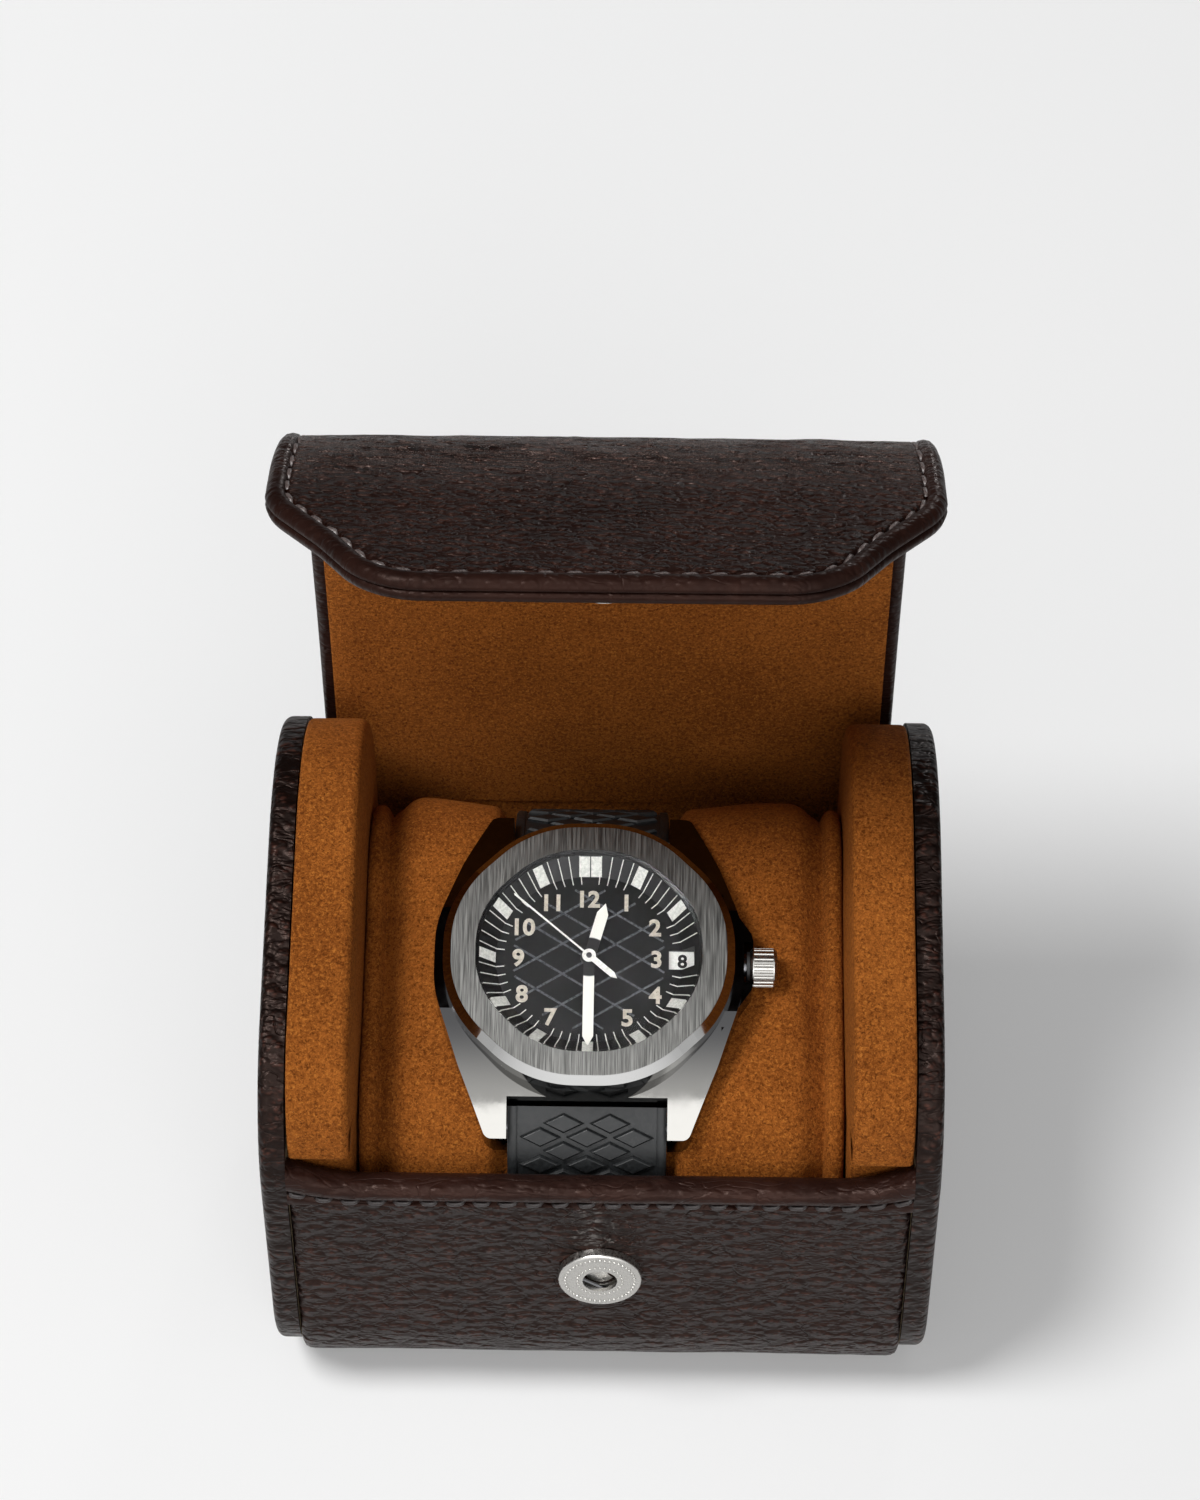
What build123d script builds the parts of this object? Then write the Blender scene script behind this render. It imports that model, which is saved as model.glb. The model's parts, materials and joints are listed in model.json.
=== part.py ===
"""Single-watch leather display and carry case, open, with a wristwatch strapped to its cushion.

Millimetres. +X is right, +Y is towards the hinge, +Z is up.
The origin is on the underside, in the middle of the case's width and depth.
"""
import os
from math import atan2, cos, degrees, pi, radians, sin, sqrt, tan

from build123d import *

# ---------------------------------------------------------------- case, driving sizes
case_width = 90.0          # over both end panels
case_depth = 75.0          # front face to back face of the wrap
end_panel_t = 3.5          # thickness of an end panel, board and leather together
end_turn = 0.4             # extra leather round an end panel's board
end_lift = 1.2             # how far the end panels stop above the table
end_front_top_z = 62.8     # virtual corner where front edge and sloping top edge meet
end_back_top_z = 87.5      # virtual corner where back edge and sloping top edge meet
end_front_top_r = 20.4
end_back_top_r = 28.0
end_front_low_r = 19.0
end_back_low_r = 18.0
wrap_front_low_r = 16.8    # the wrap stands out a little past the end panels at its low corners
wrap_back_low_r = 17.0
rim_z = 49.2               # top of the front wall
leather_t = 1.2
board_t = 1.2
suede_t = 1.0
hem_drop = 3.7             # height of the rolled hem at the front rim
hem_proud = 0.4            # how far the hem stands out of wall faces
hem_flat = 0.4             # flat left on top of the rolled hem
hem_low_r = 0.3
hinge_start_z = 46.0       # the back wall is stiff up to here

# ---------------------------------------------------------------- side pads
pad_t = 8.2
pad_clear = 0.3
pad_proud = 1.3            # how far a pad stands above the end panel's top edge
pad_front_top_r = 14.5
pad_back_top_r = 25.0
pad_ledge_r = 0.3
pad_ledge_up = 3.6         # the pads step back below this height over the front rim

# ---------------------------------------------------------------- lid at rest, standing open
lid_lean = 6.0             # forward lean of the standing lid, degrees
hinge_low_z = 56.5         # height of the lower fold
hinge_band_len = 26.6      # from the lower fold to the upper fold
hinge_inset = 6.7          # fold axes lie this far inside the leather
spine_len = 9.0            # stiff strip between the two folds
lid_half_w = 39.3
lid_board_start = 9.0      # from the upper fold to the lid's stiff board
lid_len = 30.0             # from the upper fold to the start of the top bend
top_bend_r = 15.5
top_bend_angle = 67.4
crease_gap = 8.3           # straight run between the top bend and the flap's crease
crease_inset = 0.84
bend_half_w = 41.2
flap_half_w = 42.8
flap_len = 34.1            # from the end of the top bend to the flap's free edge
flap_straight = 12.2       # straight side before the corner is cut away, from the bend's end
flap_tip_half_w = 28.3
flap_side_r = 5.0
flap_corner_r = 7.0
flap_margin = 2.0          # soft leather between the crease and the flap's board
bend_open = 29.6           # degrees by which the top bend straightens as the lid closes
strip_clear = 0.1          # play of the stiff strips between leather and lining
strip_in = 2.0             # stiff strips stop this far inside the lid's edges
strip_gap = 1.0            # stiff strip's ends to the bend and to the crease
soft_margin = 3.0          # soft leather left bare on each side of a crease

# ---------------------------------------------------------------- snap fastener
snap_z = 30.7
snap_r = 5.65
snap_t = 1.4
snap_hole_r = 2.35
snap_edge_r = 0.4
snap_groove_deep = 0.9      # groove for the spring wires, outside the hole
snap_wire_r = 0.22
snap_wire_depth = 0.8
snap_wire_turn = 35.0
snap_wire_gap = 1.9
snap_post_r = 2.0
snap_flange_r = 4.6
snap_flange_t = 0.6
stud_r = 4.0
stud_t = 0.35
stud_knob_r = 1.6
stud_knob_len = 1.15
stud_post_r = 0.85
stud_hole_r = 1.2
stud_cap_r = 3.6
stud_cap_t = 0.5

# ---------------------------------------------------------------- cushion
tilt = 16.0                # the watch leans towards the front by this much
cushion_y = -1.0
cushion_half_len = 28.0
cushion_half_t = 24.5
cushion_corner_r = 18.0
cushion_half_w = 30.3
cushion_cover_t = 1.2
cushion_cap_t = 2.0
cushion_clear = 0.3

# ---------------------------------------------------------------- watch
watch_x = -1.9
watch_w = 41.5
watch_lug_span = 47.0
watch_lug_out = 13.5
watch_lug_r = 1.2
watch_shoulder = (17.3, 14.6)    # corner between flank and lug
watch_shoulder_r = 14.0
watch_flank = 4.6
watch_flank_r = 16.0
guard_out = 1.3             # the knob's guards stand out this far from the flank
guard_root = 3.0            # and are rooted this far inside it
guard_from = 2.9            # guards start this far from the knob's axis
guard_to = 10.0
guard_nose = 1.2            # length of a guard's blunt nose
guard_draw = 0.3            # how much the nose draws in over that length
guard_low = -7.6
guard_high = -3.6
watch_lug_drop = 1.1        # metal under the spring bar
watch_belly_r = 19.0        # round of the underside between the lugs
watch_z_back = -9.7        # heights are from the top of the bezel
watch_z_low = -8.2
watch_z_seat = -3.2
case_crown_r = 45.0         # arch of the case middle from lug to lug
case_crown_lift = 0.6
bezel_w = 39.0
bezel_h = 38.0
bezel_r = 16.0
bezel_chamfer = 1.1
octagon_share = 0.41        # length of a straight side over the full width
glass_w = 30.3
glass_h = 29.2
glass_r = 12.5
glass_gap = 0.05
glass_low = -1.2
glass_top = 0.25
glass_chamfer = 0.2
dial_z = -3.4
dial_t = 0.45
chapter_drop = 2.6         # width of the sloping chapter ring
chapter_lip = 0.35
window_x = 12.4
window_w = 3.4
window_h = 2.8
date_r_in = 10.4
date_r_out = 14.1
date_t = 0.25
date_gap = 0.1
movement_r = 13.4
movement_boss_in = 0.5      # step between the movement's boss and the date ring
stem_clear = 0.15
stem_depth = 4.0            # how far the stem runs into the movement
arbor_depth = 1.6
back_spigot = 0.3           # step of the case back that enters the case
cavity_r = 14.5
back_r = 16.0
back_edge_r = 0.6
arbor_r = 0.35
run_clear = 0.05
hub_r = 1.15
hand_t = 0.16
hand_gap = 0.25
hour_hand_len = 8.2
minute_hand_len = 12.9
hand_w = 1.55
minute_hand_w = 1.45
hand_lift = 0.1
hour_hand_angle = -15.0
minute_hand_angle = 180.0
second_hand_len = 13.6
second_hand_w = 0.22
second_tail_len = 5.0
second_tail_w = 0.8
second_hub_r = 0.92
second_hand_angle = 49.0
knob_r = 2.6
knob_len = 3.6
knob_gap = 0.35
knob_flutes = 20
knob_flute_r = 0.26
knob_flute_out = 0.08       # flute centres lie this far outside the knob
knob_flute_end = 0.5
knob_chamfer = 0.35
knob_z = -5.5
stem_r = 0.6
stem_len = 9.0
tube_r = 1.25
tube_len = 2.6
gasket_t = 0.5
gasket_in = 0.5             # the gasket's edge lies this far inside the knob's
strap_w = 21.2
strap_t = 2.6
strap_start = 18.9
strap_end_clear = 0.4
strap_side_clear = 0.1
lug_pin = 0.8               # how far a spring bar reaches into each lug
bar_r = 0.75
bar_y = 20.9
clasp_len = 19.0
clasp_t = 0.8
clasp_pin_r = 0.6
clasp_pin_y = 6.5
strap_end_gap = 1.0

# ---------------------------------------------------------------- values worked out from them
half_w = case_width / 2
half_d = case_depth / 2
wall_x = half_w - end_panel_t
top_slope = atan2(end_back_top_z - end_front_top_z, case_depth)
lining_y = half_d - leather_t - board_t - suede_t
floor_z = leather_t + board_t + suede_t
neutral_y = half_d - leather_t
lid_close_angle = 90 + degrees(top_slope) - lid_lean
flap_press_angle = 90 - top_bend_angle - degrees(top_slope) + bend_open

os.makedirs("parts", exist_ok=True)


# ---------------------------------------------------------------- helpers
def save(node, shape):
    """Write one sub-part."""
    export_step(shape, f"parts/{node}.step")


def group(solids):
    """Several separate solids as one shape."""
    return Compound(children=list(solids))


def rounded_face(points, radii):
    """Face in the YZ plane with the given corners, each rounded by its own radius."""
    wire = FilletPolyline(*points, radius=radii, close=True)
    return make_face(Plane.YZ * wire)


def slab(face, x0, x1):
    """The YZ face as a solid from x0 to x1."""
    return Pos(x0, 0, 0) * extrude(face, amount=x1 - x0, dir=(1, 0, 0))


def block(x, y, z):
    """Box between pairs of limits."""
    size = (x[1] - x[0], y[1] - y[0], z[1] - z[0])
    centre = ((x[0] + x[1]) / 2, (y[0] + y[1]) / 2, (z[0] + z[1]) / 2)
    return Pos(*centre) * Box(*size)


def turn_point(point, centre, angle):
    """Turn a (y, z) point about a centre, anticlockwise seen from +X."""
    a = radians(angle)
    dy = point[0] - centre[0]
    dz = point[1] - centre[1]
    return (centre[0] + dy * cos(a) - dz * sin(a), centre[1] + dy * sin(a) + dz * cos(a))


def end_profile(inset=0.0, raised=0.0):
    """Side outline of an end panel, drawn in by inset; raised lifts its top edge."""
    y = half_d - inset
    rise = raised - inset / cos(top_slope)
    step = inset * tan(top_slope)
    corners = [
        (-y, end_lift + inset),
        (y, end_lift + inset),
        (y, end_back_top_z + rise - step),
        (-y, end_front_top_z + rise + step),
    ]
    radii = [end_front_low_r - inset, end_back_low_r - inset]
    radii += [end_back_top_r - inset, end_front_top_r - inset]
    return rounded_face(corners, radii)


def u_layer(depth_out, depth_in, front_z, back_z, half_width):
    """One layer of the front wall, floor and back wall, between two depths in from outside."""
    tall = 2 * end_back_top_z
    layers = []
    for depth in (depth_out, depth_in):
        y = half_d - depth
        corners = [(-y, depth), (y, depth), (y, tall), (-y, tall)]
        radii = [wrap_front_low_r - depth, wrap_back_low_r - depth, leather_t, leather_t]
        layers.append(rounded_face(corners, radii))
    x = (-half_width, half_width)
    layer = slab(layers[0], *x) - slab(layers[1], *x)
    layer -= block((-half_w, half_w), (-half_w, 0), (front_z, tall + 1))
    layer -= block((-half_w, half_w), (0, half_w), (back_z, tall + 1))
    return layer


# ---------------------------------------------------------------- case
def make_case():
    """Wrap, board and lining of the case, and the rolled hem at its front rim."""
    hem_z = rim_z - hem_drop
    board_deep = leather_t + board_t
    rivet = snap_rivet()
    layers = (
        ("outer_wrap", 0, leather_t),
        ("shell_board", leather_t, board_deep),
        ("case_lining", board_deep, board_deep + suede_t),
    )
    for name, depth_out, depth_in in layers:
        layer = u_layer(depth_out, depth_in, hem_z, hinge_start_z, wall_x)
        save(name, layer - rivet)
    save("snap_rivet", rivet)
    hem_out = -half_d - hem_proud
    hem_in = -lining_y + hem_proud
    hem_r = (hem_in - hem_out) / 2 - hem_flat / 2
    hem = rounded_face(
        [(hem_out, hem_z), (hem_in, hem_z), (hem_in, rim_z), (hem_out, rim_z)],
        [hem_low_r, hem_low_r, hem_r, hem_r],
    )
    save("rim_hem", slab(hem, -wall_x, wall_x))


def make_end(side, name):
    """End panel: a leather cover folded round a board."""
    cover = slab(end_profile(), wall_x, half_w)
    rims = cover.faces().filter_by(Axis.X).sort_by(Axis.X)[-1].edges()
    cover = fillet(rims, leather_t)
    pocket = slab(end_profile(inset=leather_t + end_turn), wall_x, half_w - leather_t)
    board = pocket
    cover -= pocket
    if side < 0:
        cover = mirror(cover, Plane.YZ)
        board = mirror(board, Plane.YZ)
    save(f"end_cover_{name}", cover)
    save(f"end_board_{name}", board)


def make_pad(side, name):
    """Padded suede cheek inside an end panel."""
    y = lining_y - hem_proud - pad_clear
    y_top = half_d - leather_t - pad_clear
    low = floor_z + pad_clear
    lift = pad_proud / cos(top_slope)
    z_back = end_back_top_z + lift - (half_d - y) * tan(top_slope)
    z_front = end_front_top_z + lift + (half_d - y_top) * tan(top_slope)
    ledge_z = rim_z + pad_ledge_up + pad_clear
    outline = rounded_face(
        [(-y, low), (y, low), (y, z_back), (-y_top, z_front), (-y_top, ledge_z), (-y, ledge_z)],
        [
            end_front_low_r - low, end_back_low_r - low,
            pad_back_top_r, pad_front_top_r, pad_ledge_r, pad_ledge_r,
        ],
    )
    x1 = wall_x - pad_clear
    pad = slab(outline, x1 - pad_t, x1)
    if side < 0:
        pad = mirror(pad, Plane.YZ)
    save(f"side_pad_{name}", pad)


# ---------------------------------------------------------------- lid
def lid_line():
    """Corner points of the lid's neutral line at rest, hinge to free edge, and the fold axes."""
    half = lid_lean / 2
    low_axis = (neutral_y - hinge_inset, hinge_low_z)
    high_axis = (neutral_y - hinge_inset, hinge_low_z + hinge_band_len)

    def stand(point):
        return turn_point(turn_point(point, high_axis, half), low_axis, half)

    bend_start = (neutral_y, hinge_low_z + hinge_band_len + lid_len)
    centre = (neutral_y - top_bend_r, bend_start[1])
    a = radians(top_bend_angle)
    heading = (-sin(a), cos(a))
    outward = (cos(a), sin(a))
    bend_end = (centre[0] + top_bend_r * cos(a), centre[1] + top_bend_r * sin(a))
    bend_mid = (centre[0] + top_bend_r * cos(a / 2), centre[1] + top_bend_r * sin(a / 2))
    crease = tuple(bend_end[i] + heading[i] * crease_gap - outward[i] * crease_inset for i in (0, 1))
    tip = tuple(bend_end[i] + heading[i] * flap_len for i in (0, 1))
    line = {
        "low_axis": low_axis,
        "high_axis": turn_point(high_axis, low_axis, half),
        "bend_start": stand(bend_start),
        "bend_axis": stand(bend_mid),
        "bend_end": stand(bend_end),
        "crease_axis": stand(crease),
        "tip": stand(tip),
    }
    line["heading"] = 90 + lid_lean
    line["flap_heading"] = 90 + lid_lean + top_bend_angle
    return line


lid = lid_line()


def along(point, heading, distance, out=0.0):
    """A point further along a heading (degrees from +Y), and out to the leather side."""
    a = radians(heading)
    return (
        point[0] + distance * cos(a) + out * sin(a),
        point[1] + distance * sin(a) - out * cos(a),
    )


def straight_band(point, heading, start, end, out, inside, half_width):
    """Flat strip along a heading, from start to end, between two offsets from the neutral line."""
    corners = [
        along(point, heading, start, out),
        along(point, heading, end, out),
        along(point, heading, end, inside),
        along(point, heading, start, inside),
    ]
    face = make_face(Plane.YZ * Polyline(*corners, close=True))
    return slab(face, -half_width, half_width)


def hinge_band(out, inside):
    """Soft strip over both folds, from the back wall to the lid's board."""
    half = lid_lean / 2
    board_at = lid_len - lid_board_start
    sides = []
    for offset in (out, inside):
        bottom = (neutral_y + offset, hinge_start_z)
        top = along(lid["bend_start"], lid["heading"], -board_at, offset)
        mid_from = (neutral_y + offset, hinge_low_z)
        mid_to = along(top, lid["heading"], -(top[1] - lid["high_axis"][1]) / cos(radians(lid_lean)))
        sides.append([bottom, mid_from, mid_to, top])
    ring = sides[0] + sides[1][::-1]
    return slab(make_face(Plane.YZ * Polyline(*ring, close=True)), -lid_half_w, lid_half_w)


def bend_band(out, inside, half_width, start, end):
    """Soft strip round the top bend: start before it and end after it, along the line."""
    def side(offset):
        begin = along(lid["bend_start"], lid["heading"], -start, offset)
        a = along(lid["bend_start"], lid["heading"], 0, offset)
        b = along(lid["bend_end"], lid["flap_heading"], 0, offset)
        finish = along(lid["bend_end"], lid["flap_heading"], end, offset)
        centre = along(lid["bend_start"], lid["heading"], 0, -top_bend_r)
        middle = lid["heading"] + top_bend_angle / 2
        m = along(centre, middle, 0, top_bend_r + offset)
        return begin, a, m, b, finish

    def wire_points(points):
        return [Vector(0, p[0], p[1]) for p in points]

    o = wire_points(side(out))
    i = wire_points(side(inside))
    edges = [
        Line(o[0], o[1]), ThreePointArc(o[1], o[2], o[3]), Line(o[3], o[4]),
        Line(o[4], i[4]), Line(i[4], i[3]), ThreePointArc(i[3], i[2], i[1]),
        Line(i[1], i[0]), Line(i[0], o[0]),
    ]
    return slab(make_face(edges), -half_width, half_width)


def flap_outline(start, margin=0.0):
    """Flap outline as a face: across X, and along the flap from the bend's end."""
    w = flap_half_w - margin
    tip = flap_tip_half_w - margin / 2
    end = flap_len - margin
    points = [(-w, start), (w, start), (w, flap_straight), (tip, end), (-tip, end), (-w, flap_straight)]
    r = flap_corner_r
    radii = [0.1, 0.1, flap_side_r, r, r, flap_side_r]
    return make_face(FilletPolyline(*points, radius=radii, close=True))


def flap_plane():
    """Frame of the flap: X across, Y along it from the bend's end, Z to its suede side."""
    a = radians(lid["flap_heading"])
    origin = (0, lid["bend_end"][0], lid["bend_end"][1])
    return Plane(origin=origin, x_dir=(1, 0, 0), z_dir=(0, -sin(a), cos(a)))


def flap_layer(start, out, inside, margin=0.0):
    """One layer of the flap, laid on its neutral line."""
    plane = flap_plane()
    sheet = extrude(flap_outline(start, margin), amount=out - inside)
    return plane * Pos(0, 0, -out) * sheet


def make_lid():
    """Hinge strip, lid panel, top bend and flap."""
    lining_in = -board_t - suede_t
    band_heading = 90 + lid_lean / 2
    band_foot = (neutral_y, hinge_low_z)
    spine_from = hinge_band_len / 2 - spine_len / 2
    strip = (-strip_clear, strip_clear - board_t, lid_half_w - strip_in)
    spine = straight_band(band_foot, band_heading, spine_from, spine_from + spine_len, *strip)
    save("spine_strip", spine)
    save("hinge_leather", hinge_band(leather_t, 0))
    save("hinge_lining", hinge_band(-board_t, lining_in))
    board_from = -(lid_len - lid_board_start)
    panel = (lid["bend_start"], lid["heading"], board_from, -soft_margin)
    save("lid_leather", straight_band(*panel, leather_t, 0, lid_half_w))
    save("lid_board", straight_band(*panel, 0, -board_t, lid_half_w - leather_t))
    save("lid_lining", straight_band(*panel, -board_t, lining_in, lid_half_w - leather_t))
    bend = (soft_margin, crease_gap + flap_margin)
    save("bend_leather", bend_band(leather_t, 0, bend_half_w, *bend))
    save("bend_lining", bend_band(-board_t, lining_in, bend_half_w - leather_t, *bend))
    stiff = straight_band(lid["bend_end"], lid["flap_heading"], strip_gap, crease_gap - strip_gap, *strip)
    save("bend_strip", stiff)


def close_flap(point):
    """Where a point of the flap goes when the lid is shut and the flap is pressed down."""
    point = turn_point(point, lid["crease_axis"], flap_press_angle)
    point = turn_point(point, lid["bend_axis"], -bend_open)
    point = turn_point(point, lid["high_axis"], lid_close_angle / 2)
    return turn_point(point, lid["low_axis"], lid_close_angle / 2)


def make_flap():
    """Flap leather, stiffener, facing and the stud half of the snap."""
    start = crease_gap + flap_margin
    facing_in = -board_t - suede_t
    stud_y = flap_len - (snap_z - close_flap(lid["tip"])[1])
    plane = flap_plane()

    def hole(r):
        return plane * Pos(0, stud_y, 0) * Cylinder(r, 20)

    def disc(r, z0, z1):
        return plane * Pos(0, stud_y, (z0 + z1) / 2) * Cylinder(r, z1 - z0)

    save("flap_leather", flap_layer(start, leather_t, 0))
    cap = disc(stud_cap_r, 0, stud_cap_t)
    save("flap_board", flap_layer(start, 0, -board_t, leather_t) - hole(stud_hole_r) - cap)
    save("flap_facing", flap_layer(start, -board_t, facing_in) - hole(stud_hole_r))
    face = -facing_in
    stud = disc(stud_r, face, face + stud_t)
    stud += disc(stud_knob_r, face + stud_t, face + stud_t + stud_knob_len)
    stud -= hole(stud_post_r)
    save("snap_stud", stud)
    post = cap + disc(stud_post_r, stud_cap_t, face)
    save("stud_cap", post)


# ---------------------------------------------------------------- snap socket
def make_snap():
    """Socket half of the snap on the front wall, its spring wires and its rivet."""
    face_y = -half_d

    def disc(r, y0, y1):
        barrel = Rot(90, 0, 0) * Cylinder(r, y1 - y0)
        return Pos(0, (y0 + y1) / 2, snap_z) * barrel

    front = face_y - snap_t
    ring = disc(snap_r, front, face_y)
    ring = fillet(ring.edges().filter_by(GeomType.CIRCLE).sort_by(Axis.Y)[0], snap_edge_r)
    ring -= disc(snap_hole_r, front - 1, face_y + 1)
    groove_half = snap_wire_r + run_clear
    wire_y = front + snap_wire_depth
    ring -= disc(snap_hole_r + snap_groove_deep, wire_y - groove_half, wire_y + groove_half)
    save("snap_socket", ring)
    wire = Rot(0, 90, 0) * Cylinder(snap_wire_r, 2 * snap_hole_r)
    wires = [
        Pos(0, wire_y, snap_z) * Rot(0, snap_wire_turn, 0) * Pos(0, 0, side * snap_wire_gap) * wire
        for side in (-1, 1)
    ]
    save("snap_spring", group(wires))


def snap_rivet():
    """Rivet through the front wall, with its flange let into the lining."""
    flange_y = -half_d + leather_t + board_t
    shank = Rot(90, 0, 0) * Cylinder(snap_post_r, flange_y + half_d)
    shank = Pos(0, (flange_y - half_d) / 2, snap_z) * shank
    flange = Rot(90, 0, 0) * Cylinder(snap_flange_r, snap_flange_t)
    return shank + Pos(0, flange_y + snap_flange_t / 2, snap_z) * flange


# ---------------------------------------------------------------- cushion
def cushion_reach():
    """How far the strapped cushion reaches below its centre once it is tilted."""
    a = radians(tilt)
    around = cushion_clear + strap_t
    arc = (cushion_half_len - cushion_corner_r) * sin(a) + (cushion_half_t - cushion_corner_r) * cos(a)
    arc += cushion_corner_r + around
    clasp = (cushion_half_t + around + clasp_t) * cos(a) + clasp_len / 2 * sin(a)
    return max(arc, clasp)


cushion_z = floor_z + cushion_clear + cushion_reach()
cushion_at = Pos(0, cushion_y, cushion_z) * Rot(tilt, 0, 0)
watch_at = cushion_at * Pos(watch_x, 0, cushion_half_t + cushion_clear - watch_z_back)


def cushion_section(grow):
    """Side outline of the cushion in its own frame, grown outwards."""
    a = cushion_half_len + grow
    b = cushion_half_t + grow
    r = cushion_corner_r + grow
    return rounded_face([(-a, -b), (a, -b), (a, b), (-a, b)], [r, r, r, r])


def make_cushion():
    """Foam core, suede cover and the two end caps."""
    w = cushion_half_w
    foam = slab(cushion_section(-cushion_cover_t), -w, w)
    cover = slab(cushion_section(0), -w, w) - foam
    save("cushion_foam", cushion_at * foam)
    save("cushion_cover", cushion_at * cover)
    for side_sign, name in ((-1, "left"), (1, "right")):
        cap = slab(cushion_section(0), w, w + cushion_cap_t)
        if side_sign < 0:
            cap = mirror(cap, Plane.YZ)
        save(f"cushion_cap_{name}", cushion_at * cap)


# ---------------------------------------------------------------- strap and clasp
def lug_drop():
    """How far the strap's middle has dropped below its flat top at the spring bars."""
    r = cushion_corner_r + cushion_clear + strap_t / 2
    run = bar_y - (cushion_half_len - cushion_corner_r)
    return r - sqrt(r * r - run * run)


bar_z = watch_z_back + strap_t / 2 - lug_drop()


def bar(y, r, length):
    """Rod along X at a lug, in the watch's frame."""
    return Pos(0, y, bar_z) * Rot(0, 90, 0) * Cylinder(r, length)


def make_strap():
    """Both strap halves, the spring bars and the clasp."""
    half = strap_w / 2
    grow = cushion_clear
    ring = slab(cushion_section(grow + strap_t), -half, half)
    ring -= slab(cushion_section(grow), -half - 1, half + 1)
    ring = Pos(0, 0, -(cushion_half_t + cushion_clear - watch_z_back)) * ring
    reach = 2 * cushion_half_len
    low_z = -4 * cushion_half_t
    ring -= block((-half - 1, half + 1), (-strap_start, strap_start), (bar_z - strap_t, 10))
    pin_z = watch_z_back - 2 * cushion_half_t - 2 * cushion_clear - strap_t / 2
    for y in (-bar_y, bar_y):
        ring -= bar(y, bar_r + run_clear, strap_w + 2)
    for y in (-clasp_pin_y, clasp_pin_y):
        ring -= Pos(0, y, pin_z) * Rot(0, 90, 0) * Cylinder(clasp_pin_r, strap_w + 2)
    gap = strap_end_gap / 2
    upper = ring - block((-half - 1, half + 1), (-reach, gap), (low_z, 0))
    lower = ring - block((-half - 1, half + 1), (-gap, reach), (low_z, 0))
    save("strap_upper", watch_at * upper)
    save("strap_lower", watch_at * lower)
    for name, y in (("upper", bar_y), ("lower", -bar_y)):
        save(f"spring_bar_{name}", watch_at * bar(y, bar_r, strap_w + 2 * lug_pin))
    out_z = pin_z - strap_t / 2
    x_in = half + run_clear
    x_out = x_in + clasp_t
    run = (-clasp_len / 2, clasp_len / 2)
    plate = block((-x_out, x_out), run, (out_z - clasp_t, out_z))
    for side in (-1, 1):
        cheek = sorted((side * x_in, side * x_out))
        plate += block(cheek, run, (out_z - clasp_t, out_z + strap_t))
    pins = [
        Pos(0, y, pin_z) * Rot(0, 90, 0) * Cylinder(clasp_pin_r, 2 * x_in)
        for y in (-clasp_pin_y, clasp_pin_y)
    ]
    save("clasp_cover", watch_at * plate)
    save("clasp_pins", watch_at * group(pins))


# ---------------------------------------------------------------- watch
lug_gap = strap_w / 2 + strap_side_clear
window_box = block(
    (window_x - window_w / 2, window_x + window_w / 2),
    (-window_h / 2, window_h / 2),
    (watch_z_low, glass_low),
)


def octagon(width, height, radius):
    """Rounded octagon, centred on the origin."""
    share = octagon_share
    a = width / 2
    b = height / 2
    points = [
        (a, -b * share), (a, b * share), (a * share, b), (-a * share, b),
        (-a, b * share), (-a, -b * share), (-a * share, -b), (a * share, -b),
    ]
    return make_face(FilletPolyline(*points, radius=radius, close=True))


def prism(face, z0, z1):
    """The XY face as a solid from z0 to z1."""
    return Pos(0, 0, z0) * extrude(face, amount=z1 - z0)


def rod(r, z0, z1):
    """Upright cylinder in the watch's frame."""
    return Pos(0, 0, (z0 + z1) / 2) * Cylinder(r, z1 - z0)


def slab_rod(r, x0, x1):
    """Cylinder along X on the winding knob's axis, in the watch's frame."""
    return Pos((x0 + x1) / 2, 0, knob_z) * Rot(0, 90, 0) * Cylinder(r, x1 - x0)


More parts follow.
